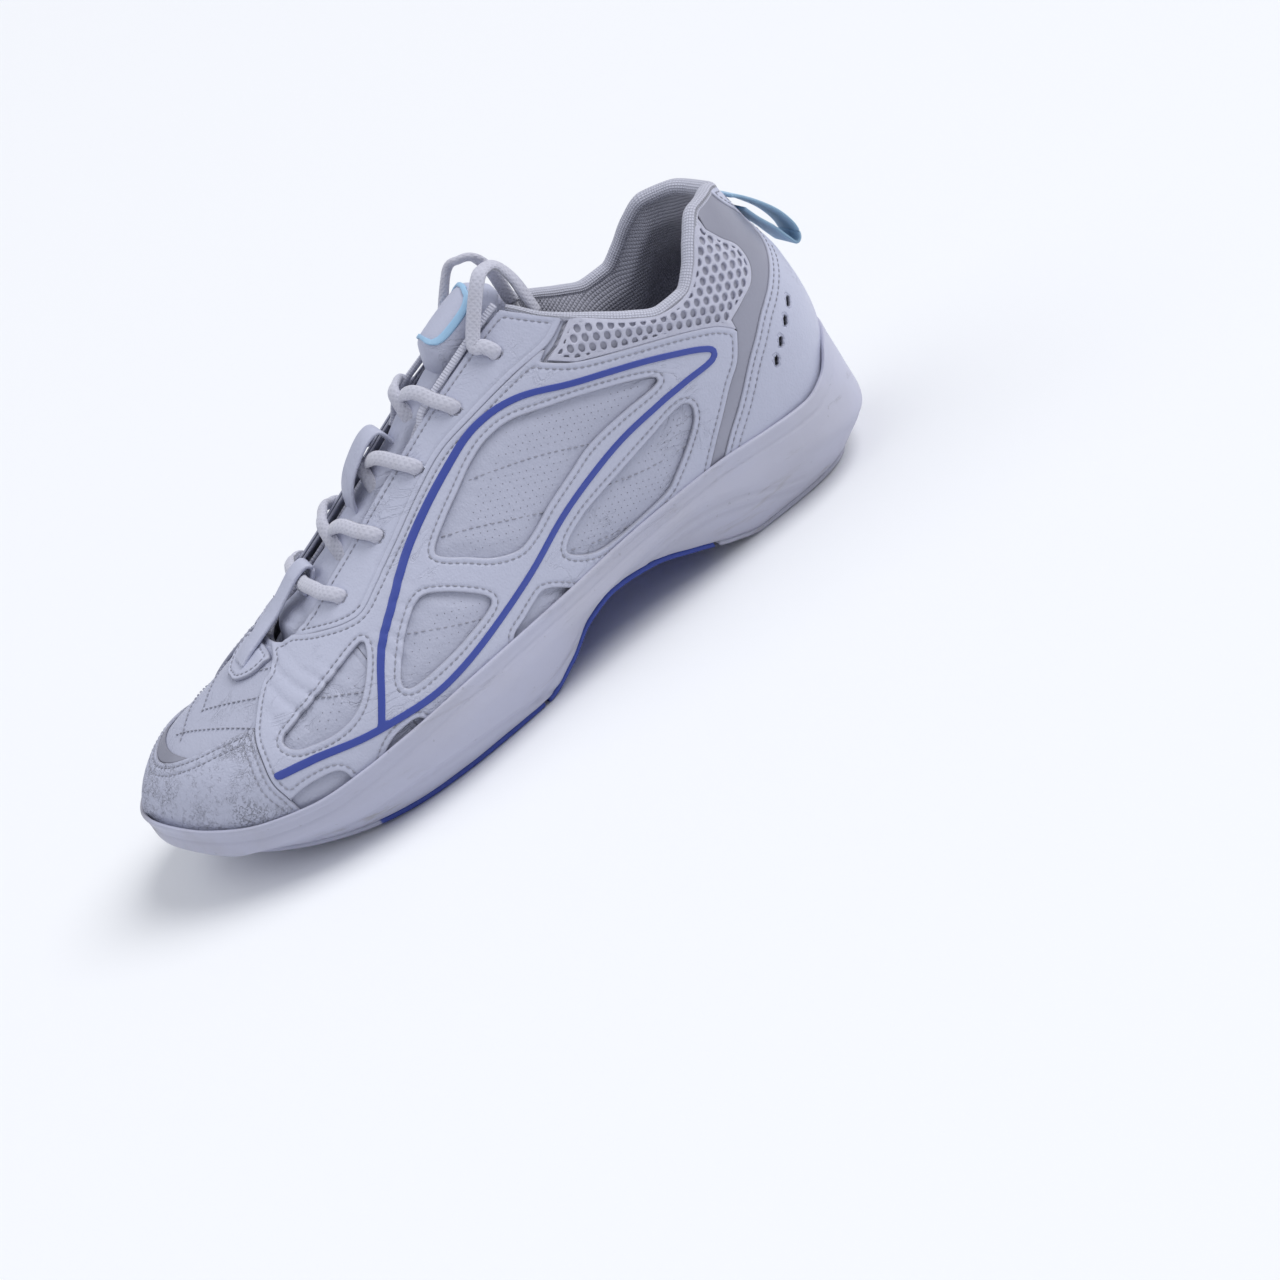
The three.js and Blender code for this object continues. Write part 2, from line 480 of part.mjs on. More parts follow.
function buildUpper() {
  addPart('lining', shells.lining.subtract(openings).subtract(eyeletHoles[0]).subtract(eyeletHoles[1]), LINING);
  addPart('toe_puff', cutFrom('stiffener', [[-96, 10], [-92, 30], [-101, 60], [-132, 60], [-132, 10]], 'both'), BOARD);
  addPart('heel_counter', cutFrom('stiffener', [[84, 10], [86, 40], [100, 62], [118, 70], [160, 72], [160, 10]], 'both'), BOARD);

  const meshFront = [[58.5, 98], [50, 92.8]];
  const collarZone = [...COLLAR_EDGE.slice(1), [101.5, 70.5], [112, 74], [126, 78], [160, 78], [160, 130],
    [58.5, 130], ...meshFront];
  addPart('collar_foam', shells.foam.intersect(regionOn(collarZone, 'both')).subtract(mouth), FOAM);
  const vampZone = [[-129, 0], [VAMP_SEAM, 0], [VAMP_SEAM, 90], [-129, 90]];
  addPart('vamp', shells.base.intersect(regionOn(vampZone, 'both')).subtract(throat), LEATHER);

  const quarterZone = [[VAMP_SEAM, 0], [160, 0], [160, 77], [126, 77], [112, 73], [101.5, 69.5],
    ...COLLAR_EDGE.slice(1).reverse().map(([x, z]) => [x, z - 0.9]), [45, 91], [56, 96.5], [56, 130], [VAMP_SEAM, 130]];
  const eyestayZone = [...smooth(EYESTAY_EDGE), [-74, 57], [-74, 130], [57, 130]];
  const overlayZone = [...smooth(EYESTAY_EDGE.slice(1, -2)).filter(([x]) => x < 42), ...smooth(OVERLAY_FRONT), [62, 0],
    ...smooth(STRIP_FRONT).reverse(), ...smooth(COLLAR_EDGE).reverse()];
  const wingZone = [...smooth(WING_FRONT), ...smooth(OVERLAY_FRONT.slice(0, 5)).reverse(), [-60, 57]];
  const stripZone = [...smooth(STRIP_FRONT).reverse(), ...smooth(MESH_LOBE), [112, 110], ...smooth(STRIP_REAR)];
  const meshZone = [[45, 91], ...COLLAR_EDGE.slice(1), ...MESH_LOBE, [110, 120], [58.5, 120], ...meshFront];
  const heelZone = [...smooth(STRIP_REAR), [67, 0], [170, 0], [170, 130], [117, 130]];

  SIDE_NAMES.forEach((side, i) => {
    addPart(`quarter_${side}`, cutFrom('base', quarterZone, side).subtract(eyeletHoles[i]), LEATHER);
    addPart(`eyestay_${side}`, cutFrom('overlay', eyestayZone, side).subtract(eyeletHoles[i]), LEATHER);
    const windows = Object.values(WINDOWS).map((w) => sidePrism(closedSmooth(w, 11), ...SIDES[side]))
      .reduce((a, b) => a.add(b));
    addPart(`quarter_overlay_${side}`, cutFrom('overlay', overlayZone, side).subtract(windows), LEATHER);
    addPart(`vamp_wing_${side}`, cutFrom('overlay', wingZone, side), LEATHER);
    addPart(`collar_mesh_${side}`, cutFrom('overlay', meshZone, side), MESH);
    addPart(`silver_strip_${side}`, cutFrom('overlay', stripZone, side), SILVER);
    addPart(`side_stripe_${side}`, sideStripe(side), BLUE);
  });
  const cap = planPrism(grow([...smooth(TOE_CAP_EDGE), [-180, 90], [-180, -80]], -GAP / 2));
  const capLimit = sidePrism(grow([...smooth(OVERLAY_FRONT.slice(3)), [-180, 14], [-180, 60], [-89, 60]], -GAP / 2), -FAR, FAR);
  const wings = sidePrism(grow(wingZone, GAP / 2), -FAR, FAR);
  addPart('toe_cap', shells.overlay.intersect(cap).intersect(capLimit).subtract(wings), COATED);
  const accentZone = [[-160, -30], [-116, -20], [-112, 0], [-112, 16], [-116, 36], [-160, 46]];
  addPart('toe_accent', shells.overlay.intersect(planPrism(accentZone))
    .subtract(planPrism(grow([...smooth(TOE_CAP_EDGE), [-180, 90], [-180, -80]], GAP / 2))), SILVER);
  addPart('heel_foxing', shells.overlay.intersect(regionOn(heelZone, 'both')).subtract(mouth).subtract(heelVents()), LEATHER);
}

// Four short slots in a row on each side of the heel
function heelVents() {
  const slot = { length: 3.4, width: 1.8 };
  const row = [[122, 62], [117.5, 58.5], [112.5, 54.5], [108, 50.5]];
  return row.map(([x, z]) => {
    const outline = Array.from({ length: 6 }, (_, i) => {
      const angle = 2 * Math.PI * i / 6;
      const along = slot.length / 2 * Math.cos(angle);
      const across = slot.width / 2 * Math.sin(angle);
      return [x + 0.55 * along - 0.83 * across, z + 0.83 * along + 0.55 * across];
    });
    return sidePrism(outline, -FAR, FAR);
  }).reduce((a, b) => a.add(b));
}

function sideStripe(side) {
  const bands = Object.values(STRIPES).map((run) => sidePrism(band(smooth(run), STRIPE_WIDTH), ...SIDES[side]));
  return shells.trim.intersect(bands[0].add(bands[1]));
}

// Outline of a band of even width along an open run of points
function band(run, width) {
  const points = run.map(([a, b]) => new THREE.Vector2(a, b));
  const edge = (sign) => points.map((p, i) => {
    const along = points[Math.min(i + 1, points.length - 1)].clone().sub(points[Math.max(i - 1, 0)]).normalize();
    return [p.x - sign * along.y * width / 2, p.y + sign * along.x * width / 2];
  });
  return [...edge(1), ...edge(-1).reverse()];
}

// Solid tube through points, closed at both ends
function tube(points, radius, sides = 5) {
  const positions = [];
  const faces = [];
  let across = new THREE.Vector3(0.3, 0.5, 0.8);
  points.forEach((point, i) => {
    const before = points[Math.max(i - 1, 0)];
    const after = points[Math.min(i + 1, points.length - 1)];
    const along = after.clone().sub(point).normalize().add(point.clone().sub(before).normalize()).normalize();
    across = across.clone().addScaledVector(along, -across.dot(along)).normalize();
    const third = along.clone().cross(across);
    for (let k = 0; k < sides; k += 1) {
      const angle = 2 * Math.PI * k / sides;
      const p = point.clone().addScaledVector(across, radius * Math.cos(angle)).addScaledVector(third, radius * Math.sin(angle));
      positions.push(p.x, p.y, p.z);
    }
  });
  for (let i = 0; i + 1 < points.length; i += 1) {
    for (let k = 0; k < sides; k += 1) {
      const a = i * sides + k;
      const b = i * sides + (k + 1) % sides;
      faces.push(a, b, b + sides, a, b + sides, a + sides);
    }
  }
  const end = (points.length - 1) * sides;
  for (let k = 1; k + 1 < sides; k += 1) faces.push(0, k + 1, k, end, end + k, end + k + 1);
  return meshSolid(positions, faces);
}

function buildTongueAndLace() {
  const upperHalf = sidePrism([[-80, 34], [60, 80], [60, 160], [-80, 160]], -FAR, FAR);
  const tongueLayer = (low, high, outline) => shell(low, high).intersect(planPrism(outline)).intersect(upperHalf);
  const tongueOutline = closedSmooth(TONGUE, 22);
  addPart('tongue', tongueLayer(TONGUE_DEPTH.middle, TONGUE_DEPTH.top, tongueOutline), LEATHER);
  addPart('tongue_lining', tongueLayer(TONGUE_DEPTH.under, TONGUE_DEPTH.middle - GAP, tongueOutline), LINING);
  const padOutline = closedSmooth([[18, -7], [30, -8.5], [42, -8], [45.5, 0], [42, 7], [30, 7.5], [18, 6.5], [15, 0]], 16);
  addPart('tongue_pad', tongueLayer(TONGUE_DEPTH.top + GAP, 5.5, padOutline), LEATHER);
  const badge = closedSmooth([[22, -5], [30, -6.5], [38, -6], [40, 0], [38, 5.5], [30, 6], [22, 4.8], [20, 0]], 12);
  addPart('tongue_badge', tongueLayer(5.5 + GAP, 6.4, badge), SKY);
  addPart('tongue_keeper', tongueKeeper(), LEATHER);
  const keeperBase = closedSmooth([[-77, -5], [-77, 14], [-83, 15], [-89, 8], [-89, 2], [-83, -6]], 18);
  addPart('keeper_base', shells.overlay.intersect(planPrism(keeperBase)), LEATHER);
  addPart('lace_keeper', keeperStrap(), LEATHER);
  buildLace();
  addPart('collar_binding', tube(toplinePath(), 1.5), LINING);
  addPart('pull_tab', sidePrism(PULL_TAB, -8, 8), SKY);
}

// Band across the tongue that the crossing strands run under
function tongueKeeper() {
  const lift = [[-29.5, -5.4], [-26.8, 3.2], [-19, 7.5], [-12, 7.9], [-7.3, 4.8], [-5.5, -5.2]];
  const outer = lift.map(([x, up]) => [x, ridgeAt(x) + up]);
  const inner = [[-6.7, -5.2], [-8.4, 3.9], [-12.6, 6.6], [-18.4, 6.3], [-25.6, 2.4], [-28.2, -5.4]].map(([x, up]) => [x, ridgeAt(x) + up]);
  return sidePrism([...outer, ...inner], -3, 9);
}

function keeperStrap() {
  const top = [-80, -74, -66, -58, -53.5].map((x, i) => [x, ridgeAt(x) + [4.8, 5.2, 6.2, 7.4, 6.4][i]]);
  const under = [-52.5, -53.5, -54.6, -55, -63, -74, -80].map((x, i) => [x, ridgeAt(x) + [3, 1.2, 1.4, 5.2, 5.2, 4.2, 3.7][i]]);
  return sidePrism([...top, ...under], 0, 9);
}

// One lace: a straight bar through the keeper, then up both sides. It goes down each hole from outside,
// passes under its own edge of the throat and over the other edge, and both ends turn over the tongue's top.
function buildLace() {
  const over = LAYER.overlay[1] + 2 * GAP + LACE_RADIUS;
  const under = LAYER.lining[0] - 3 * GAP - LACE_RADIUS;
  const mirrored = (v, side) => (side === 0 ? v : 2 - v);
  const at = (x, v, side, distance) => spot(x, mirrored(v, side), distance);
  const downHole = (row, side) => [[0.71, over], [EYELET_RISE + 0.012, over - 0.3], [EYELET_RISE, over - 1.8],
    [EYELET_RISE, under + 1.4], [EYELET_RISE + 0.015, under]].map(([v, lift]) => at(EYELETS[row], v, side, lift));
  const crossing = (row, side, middleLift) => {
    const route = [[0.2, 0.76, under], [0.3, 0.84, under + 0.2], [0.5, 1, middleLift], [0.68, 1.15, 3.6],
      [0.8, 1.235, over], [0.9, 1.275, over]];
    return route.map(([t, v, lift]) => at(THREE.MathUtils.lerp(EYELETS[row], EYELETS[row + 1], t), v, side, lift));
  };
  const half = (side) => {
    const points = [at(-53, 0.8, side, over), ...downHole(0, side)];
    let here = side;
    for (let row = 0; row < 3; row += 1) {
      points.push(...crossing(row, here, here === 0 ? -0.3 : under + 0.2));
      here = 1 - here;
      points.push(...downHole(row + 1, here));
    }
    points.push(at(24, EYELET_RISE, here, under), ...downHole(4, here).reverse());
    const hand = here === 0 ? -1 : 1;
    points.push(...[[41, 13, 4.5], [47, 10, 4], [51.5, 9, -1.5], [53, 10, -8], [53.5, 11, -14]]
      .map(([x, y, lift]) => new THREE.Vector3(x, 1 + y * hand, ridgeAt(x) + lift)));
    return points;
  };
  const bar = [[9.5, 3], [-0.5, 3]].map(([y, lift]) => new THREE.Vector3(-57, y, ridgeAt(-57) + lift));
  const lace = [...half(1).reverse(), ...bar, ...half(0)];
  addPart('lace', tube(lace, LACE_RADIUS), CORD);
  [lace[0], lace[lace.length - 1]].forEach((end, i) => {
    const ends = [new THREE.Vector3(0.2, 0, -GAP - 0.2), new THREE.Vector3(0.6, 0, -12)].map((shift) => shift.add(end));
    addPart(`lace_tip_${SIDE_NAMES[1 - i]}`, tube(ends, 1.4, 8), STEEL);
  });
}

// Runs along the topline from the outer front corner round the heel to the inner front corner
function toplinePath() {
  const path = [];
  const steps = 15;
  for (const side of [0, 2]) {
    const half = [];
    for (let i = 0; i <= steps; i += 1) {
      const u = uAt(44) * i / steps;
      let low = 0.1;
      let high = 1;
      for (let k = 0; k < 30; k += 1) {
        const middle = (low + high) / 2;
        const p = lastPoint(u, side === 0 ? middle : 2 - middle);
        if (p.z < toplineAt(p.x)) low = middle; else high = middle;
      }
      const v = side === 0 ? low : 2 - low;
      half.push(offsetPoint(u, v, 0.6).add(new THREE.Vector3(0, 0, 2.7)));
    }
    path.push(side === 0 ? half.reverse() : half.slice(1));
  }
  return path.flat();
}

buildSole();
buildUpper();
buildTongueAndLace();

export default shoe;
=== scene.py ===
# Low bowling shoe for the left foot. Shapes are worked out in millimetres in the shoe's own frame,
# toe towards -X and outer side towards -Y, and are turned into metres when a mesh is made.
import math
import bmesh
import bpy
import numpy as np
from mathutils import Matrix, Vector


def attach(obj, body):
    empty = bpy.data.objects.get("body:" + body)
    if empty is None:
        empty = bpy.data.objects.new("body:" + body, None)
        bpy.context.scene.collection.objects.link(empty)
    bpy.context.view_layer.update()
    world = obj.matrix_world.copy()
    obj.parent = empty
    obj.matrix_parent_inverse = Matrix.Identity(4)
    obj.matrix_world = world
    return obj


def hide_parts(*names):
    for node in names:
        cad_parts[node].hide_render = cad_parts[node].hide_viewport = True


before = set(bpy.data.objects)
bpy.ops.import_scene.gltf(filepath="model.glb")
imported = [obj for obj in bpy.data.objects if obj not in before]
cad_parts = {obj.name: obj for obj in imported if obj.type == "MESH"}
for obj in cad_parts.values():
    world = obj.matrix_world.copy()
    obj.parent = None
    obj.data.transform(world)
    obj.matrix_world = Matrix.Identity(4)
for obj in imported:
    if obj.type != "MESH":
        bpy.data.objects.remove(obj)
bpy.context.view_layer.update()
toOrigin = np.array([-2.95, 1.5, 0.0])   # brings the middle of the shoe over the origin
print("frame loaded")

# ribs of the last, heel first: outer foot, inner foot, foot height, ridge, rise, crown, lean
ribs = [
    ((133, 0), (133, 0), 31, (127, 0, 116), 0.60, 0.50, 0.06),
    ((128, -17), (128, 17), 30, (120, 0, 117), 0.62, 0.60, 0.07),
    ((114, -29), (114, 27), 28.5, (108, 0, 118), 0.65, 0.66, 0.08),
    ((90, -34), (90, 31), 27, (88, 0, 119), 0.66, 0.68, 0.08),
    ((62, -35), (62, 30), 26, (62, 0, 118), 0.62, 0.58, 0.08),
    ((34, -36), (34, 28.5), 25, (36, 0, 113), 0.50, 0.42, 0.10),
    ((6, -40), (6, 31), 23.5, (10, 1, 102), 0.45, 0.36, 0.10),
    ((-22, -45), (-22, 37), 21.5, (-16, 3, 87), 0.45, 0.38, 0.10),
    ((-50, -48), (-50, 43), 19.5, (-44, 5, 71), 0.48, 0.44, 0.10),
    ((-78, -45), (-78, 45), 18.5, (-72, 6, 57), 0.50, 0.52, 0.12),
    ((-104, -34), (-104, 40), 18.5, (-98, 7, 48.5), 0.55, 0.60, 0.12),
    ((-125, -15), (-125, 31), 20, (-119, 8, 42.5), 0.58, 0.60, 0.12),
    ((-135, 8), (-135, 8), 22, (-136, 8, 28.5), 0.50, 0.50, 0.10),
]


def hermite(a, slopeA, b, slopeB, t):
    t2, t3 = t * t, t * t * t
    return (2 * t3 - 3 * t2 + 1) * a + (t3 - 2 * t2 + t) * slopeA + (3 * t2 - 2 * t3) * b + (t3 - t2) * slopeB


def curveThrough(points):   # smooth curve through chosen points that never overshoots them
    ordered = np.array(sorted(points), float)
    x, y = ordered[:, 0], ordered[:, 1]
    steps = np.diff(y) / np.diff(x)
    slopes = np.zeros(len(x))
    for i in range(1, len(x) - 1):
        if steps[i - 1] * steps[i] > 0:
            slopes[i] = 2 / (1 / steps[i - 1] + 1 / steps[i])

    def at(value):
        value = np.asarray(value, float)
        i = np.clip(np.searchsorted(x, value) - 1, 0, len(x) - 2)
        span = x[i + 1] - x[i]
        t = np.clip((value - x[i]) / span, 0, 1)
        return hermite(y[i], slopes[i] * span, y[i + 1], slopes[i + 1] * span, t)
    return at


def ribSpline(values, startSlope=None, endSlope=None):
    values = np.array(values, float)
    n = len(values)
    table, right = np.eye(n), np.zeros(n)
    for i in range(1, n - 1):
        table[i, i - 1:i + 2] = 1, 4, 1
        right[i] = 3 * (values[i + 1] - values[i - 1])
    if startSlope is None:
        table[0, :2] = 2, 1
    if endSlope is None:
        table[-1, -2:] = 1, 2
    right[0] = 3 * (values[1] - values[0]) if startSlope is None else startSlope
    right[-1] = 3 * (values[-1] - values[-2]) if endSlope is None else endSlope
    slopes = np.linalg.solve(table, right)

    def at(t):
        i = np.minimum(np.floor(t).astype(int), n - 2)
        return hermite(values[i], slopes[i], values[i + 1], slopes[i + 1], t - i)
    return at


outerX, outerY = ribSpline([r[0][0] for r in ribs], 0, 0), ribSpline([r[0][1] for r in ribs], -17, 22)
innerX, innerY = ribSpline([r[1][0] for r in ribs], 0, 0), ribSpline([r[1][1] for r in ribs], 17, -22)
footZ, ridgeX = ribSpline([r[2] for r in ribs], 0, 0), ribSpline([r[3][0] for r in ribs], -5, 0)
ridgeY, ridgeZ = ribSpline([r[3][1] for r in ribs], 0, 0), ribSpline([r[3][2] for r in ribs], 0, -20)
rise, crown, lean = (ribSpline([r[k] for r in ribs]) for k in (4, 5, 6))
heelLean = curveThrough([(30, 0), (50, 3), (70, 1.5), (88, -3.5), (105, -5.5), (120, -7)])
featherAt = curveThrough([(-141, 31), (-125, 26.5), (-110, 24), (-95, 23.8), (-75, 26), (-60, 28), (-30, 30.5),
                          (10, 31.5),
                          (50, 34), (75, 35), (95, 33.5), (112, 32.5), (122, 35), (131, 41), (143, 44)])
wallRidgeAt = curveThrough([(-141, 21), (-120, 15), (-75, 16.5), (-24, 19.5), (20, 23), (55, 26), (91, 20),
                            (143, 15.5)])
groundAt = curveThrough([(-141, 12), (-120, 8), (-100, 4), (-78, 0.8), (-62, 0), (-14, 0), (0, 5), (12, 12), (25, 15),
                         (40, 13.5), (56, 8), (70, 2.5), (80, 0), (122, 0), (143, 1.5)])
topline = [(42, 109), (52, 102), (63, 95), (73, 89), (83, 85), (92, 85.5), (99, 90.5), (105, 97), (112, 102),
           (120, 102),
           (128, 98), (142, 95)]
toplineAt = curveThrough(topline)
ridgeAt = curveThrough([(r[3][0], r[3][2]) for r in ribs])


def smoothStep(value, low, high):
    t = np.clip((np.asarray(value, float) - low) / (high - low), 0, 1)
    return t * t * (3 - 2 * t)


# u runs 0 to 1 from heel to toe, v runs 0 at the outer foot, 1 at the ridge, 2 at the inner foot
def lastPoint(u, v):
    u, v = np.broadcast_arrays(np.asarray(u, float), np.asarray(v, float))
    t = np.clip(u, 0, 1) * (len(ribs) - 1)
    outer = v <= 1
    w = np.where(outer, v, 2 - v)
    foot = np.stack([np.where(outer, outerX(t), innerX(t)), np.where(outer, outerY(t), innerY(t)), footZ(t)], -1)
    ridge = np.stack([ridgeX(t), ridgeY(t), ridgeZ(t)], -1)
    across = (ridge - foot)[..., :2]
    height = ridge[..., 2] - foot[..., 2]
    bulge = lean(t) * height * rise(t) / np.maximum(np.linalg.norm(across, axis=-1), 12)
    shoulder = foot.copy()
    shoulder[..., :2] -= bulge[..., None] * across
    shoulder[..., 2] += rise(t) * height
    brow = ridge.copy()
    brow[..., :2] -= crown(t)[..., None] * across
    w = w[..., None]
    point = (1 - w) ** 3 * foot + 3 * (1 - w) ** 2 * w * shoulder + 3 * (1 - w) * w * w * brow + w ** 3 * ridge
    point[..., 0] += np.clip((point[..., 0] - 40) / 90, 0, 1) ** 2 * heelLean(point[..., 2])
    return point


def unit(vectors):
    return vectors / np.maximum(np.linalg.norm(vectors, axis=-1, keepdims=True), 1e-12)


def lastNormal(u, v):
    u, v = np.broadcast_arrays(np.asarray(u, float), np.asarray(v, float))
    step = 0.002

    def oneSide(vSide):
        outer = vSide <= 1
        low = np.where(outer, np.maximum(vSide - step, 0), np.maximum(vSide - step, 1 + 1e-9))
        high = np.where(outer, np.minimum(vSide + step, 1), np.minimum(vSide + step, 2))
        alongU = lastPoint(u + step, vSide) - lastPoint(u - step, vSide)
        return unit(np.cross(lastPoint(u, high) - lastPoint(u, low), alongU))
    normal = oneSide(v)
    atEnd = ((u < step) | (u > 1 - step))[..., None]
    normal = np.where(atEnd, normal + oneSide(2 - v), normal)
    nearRidge = (np.abs(v - 1) < 1e-6)[..., None]
    return unit(np.where(nearRidge, normal + oneSide(np.full(v.shape, 1 + 1e-6)), normal))


def waves(points, scale, seed, octaves=3):   # cheap smooth noise, always the same for one seed
    chance = np.random.default_rng(seed)
    total, size = np.zeros(points.shape[:-1]), 1.0
    for _ in range(octaves):
        for _ in range(4):
            direction = unit(chance.normal(size=3)) * 2 * math.pi / scale
            total += size * np.sin(points @ direction + chance.uniform(0, 6.28)) / 4
        scale, size = scale * 0.55, size * 0.6
    return total


creases = {"depth": 0.5, "spread": 6.5, "undulation": 0.35}


def wear(points):   # how worn leather stands away from the last
    x, y, z = points[..., 0], points[..., 1], points[..., 2]
    bend = smoothStep(x, -98, -80) * (1 - smoothStep(x, -44, -20)) * smoothStep(z, 24, 44)
    slant = x + 0.30 * z + 5 * waves(points, 70, 3, 2)
    ripple = np.sin(slant * 2 * math.pi / creases["spread"] + 2.2 * waves(points, 38, 5, 2))
    patch = smoothStep(waves(points, 34, 11, 2), -0.1, 0.7)
    crease = -creases["depth"] * bend * patch * np.exp(-((ripple - 1) / 0.55) ** 2)
    return crease + creases["undulation"] * waves(points, 55, 7, 2)


class Grid:   # points of the last with their normals, over a range of u and v
    def __init__(self, uRange, vRange, along, across):
        u, v = np.meshgrid(np.linspace(*uRange, along + 1), np.linspace(*vRange, across + 1), indexing="ij")
        self.u, self.v = u - 0.09 * np.sin(2 * math.pi * u), v
        self.point, self.normal = lastPoint(self.u, self.v), lastNormal(self.u, self.v)
        half = across // 2
        for end in ((0, -1) if vRange == (0, 2) else ()):   # both sides share the seam at the heel and at the toe
            self.point[end, half + 1:] = self.point[end, :half][::-1]
            self.normal[end, half + 1:] = self.normal[end, :half][::-1]
        self.point = self.point + self.normal * wear(self.point)[..., None]


wholeLast = Grid((0, 1), (0, 2), 330, 220)
grid = wholeLast
print("last ready", grid.point.shape)


def collarPad(points):
    depth = toplineAt(points[..., 0]) - points[..., 2]
    behind = smoothStep(points[..., 0], 50, 72)
    return 5 * behind * smoothStep(depth, -2, 8) * (1 - smoothStep(depth, 14, 34))


# outlines
def smooth(points, perSpan=6, closed=False):
    p = np.array(points, float)
    n = len(p)
    spans = n if closed else n - 1
    out = []
    for i in range(spans):
        k = [(i + d) % n if closed else min(max(i + d, 0), n - 1) for d in (-1, 0, 1, 2)]
        a, b, c, d = p[k]
        t = np.linspace(0, 1, perSpan, endpoint=False)[:, None]
        out.append(0.5 * (2 * b + (c - a) * t + (2 * a - 5 * b + 4 * c - d) * t ** 2 + (3 * b - a - 3 * c + d)
                          * t ** 3))
    if not closed:
        out.append(p[-1:])
    return np.concatenate(out)


def joined(*runs):
    return np.concatenate([np.array(run, float) for run in runs])


def band(run, width):
    run = np.array(run, float)
    along = unit(np.gradient(run, axis=0))
    side = np.stack([-along[:, 1], along[:, 0]], -1) * width / 2
    cap = lambda p, d, s: [p + s * np.array([-d[1], d[0]]) * width / 2 * math.cos(a) + d * width / 2 * math.sin(a)
                           for a in np.linspace(0.4, math.pi - 0.4, 5)]
    return joined(run + side, cap(run[-1], along[-1], 1), (run - side)[::-1], cap(run[0], -along[0], -1))


def insideDistance(outline, a, b):   # distance to a closed outline, positive inside, with the way to its nearest point
    outline = np.array(outline, float)
    best = np.full(a.shape, 1e9)
    wayA, wayB = np.ones(a.shape), np.zeros(a.shape)
    inside = np.zeros(a.shape, bool)
    for p, q in zip(outline, np.roll(outline, -1, axis=0)):
        d = q - p
        length = d @ d
        if length < 1e-9:
            continue
        t = np.clip(((a - p[0]) * d[0] + (b - p[1]) * d[1]) / length, 0, 1)
        da, db = a - (p[0] + t * d[0]), b - (p[1] + t * d[1])
        gap = da * da + db * db
        nearer = gap < best
        best = np.where(nearer, gap, best)
        wayA, wayB = np.where(nearer, da, wayA), np.where(nearer, db, wayB)
        if d[1] != 0:
            crosses = (p[1] > b) != (q[1] > b)
            inside ^= crosses & (a < p[0] + (b - p[1]) * d[0] / d[1])
    best = np.sqrt(best)
    size = np.maximum(best, 1e-9)
    return np.where(inside, best, -best), wayA / size, wayB / size


# distance along the surface from an outline seen from the side or from above
def fieldOf(outline, plan=False, reach=9):
    axes = (0, 1) if plan else (0, 2)
    outline = np.array(outline, float)
    a, b = grid.point[..., axes[0]], grid.point[..., axes[1]]
    low, high = outline.min(0) - reach, outline.max(0) + reach
    near = (a > low[0]) & (a < high[0]) & (b > low[1]) & (b < high[1])
    field = np.full(a.shape, -float(reach))
    distance, wayA, wayB = insideDistance(outline, a[near], b[near])
    normal = grid.normal[near]
    dot = wayA * normal[:, axes[0]] + wayB * normal[:, axes[1]]
    field[near] = distance / np.maximum(np.sqrt(np.maximum(1 - dot * dot, 0)), 0.35)
    return field


def sideField(side):
    return (1 - grid.v) * 90 if side == "outer" else (grid.v - 1) * 90


def cutAt(points, triangles, level, column):   # splits the triangles that cross one level of a column
    value = points[:, column] - level
    value = np.where(np.abs(value) < 1e-7, 1e-7, value)
    positive = value > 0
    count = positive[triangles].sum(1)
    mixed = (count == 1) | (count == 2)
    if not mixed.any():
        return points, triangles
    cut = triangles[mixed]
    lone = positive[cut] == (count[mixed] == 1)[:, None]
    first = lone.argmax(1)
    rows = np.arange(len(cut))
    a, b, c = (cut[rows, (first + k) % 3] for k in range(3))
    pairs = np.sort(np.concatenate([np.stack([a, b], 1), np.stack([a, c], 1)]), axis=1)
    unique, inverse = np.unique(pairs, axis=0, return_inverse=True)
    inverse = inverse.reshape(-1)
    p, q = unique[:, 0], unique[:, 1]
    t = (value[p] / (value[p] - value[q]))[:, None]
    fresh = points[p] + (points[q] - points[p]) * t
    fresh[:, column] = level
    ab, ac = len(points) + inverse[:len(cut)], len(points) + inverse[len(cut):]
    parts = [triangles[~mixed], np.stack([a, ab, ac], 1), np.stack([ab, b, c], 1), np.stack([ab, c, ac], 1)]
    return np.concatenate([points, fresh]), np.concatenate(parts)


def clip(field, levels):   # the part of the last where the field is positive, cut along each level
    keep = (field[:-1, :-1] > 0) | (field[1:, :-1] > 0) | (field[:-1, 1:] > 0) | (field[1:, 1:] > 0)
    index = np.arange(grid.u.size).reshape(grid.u.shape)
    a, b, c, d = index[:-1, :-1][keep], index[1:, :-1][keep], index[1:, 1:][keep], index[:-1, 1:][keep]
    triangles = np.concatenate([np.stack([a, c, b], 1), np.stack([a, d, c], 1)])
    used, inverse = np.unique(triangles, return_inverse=True)
    triangles = inverse.reshape(triangles.shape)
    flat = lambda table: table.reshape(grid.u.size, -1)[used]
    points = np.concatenate([flat(grid.point), flat(grid.normal), flat(grid.u), flat(grid.v), flat(field)], 1)
    points, triangles = cutAt(points, triangles, 0, 8)
    triangles = triangles[points[triangles, 8].mean(1) > 0]
    for level in sorted(set(levels)):
        points, triangles = cutAt(points, triangles, level, 8)
    used, inverse = np.unique(triangles, return_inverse=True)
    points, triangles = points[used], inverse.reshape(triangles.shape)
    _, first, same = np.unique(np.round(points[:, :3] * 2000).astype(np.int64), axis=0, return_index=True,
                               return_inverse=True)
    points, triangles = points[first], same.reshape(-1)[triangles]
    whole = (triangles[:, 0] != triangles[:, 1]) & (triangles[:, 1] != triangles[:, 2]) & (triangles[:,
            0] != triangles[:, 2])
    return points, triangles[whole]


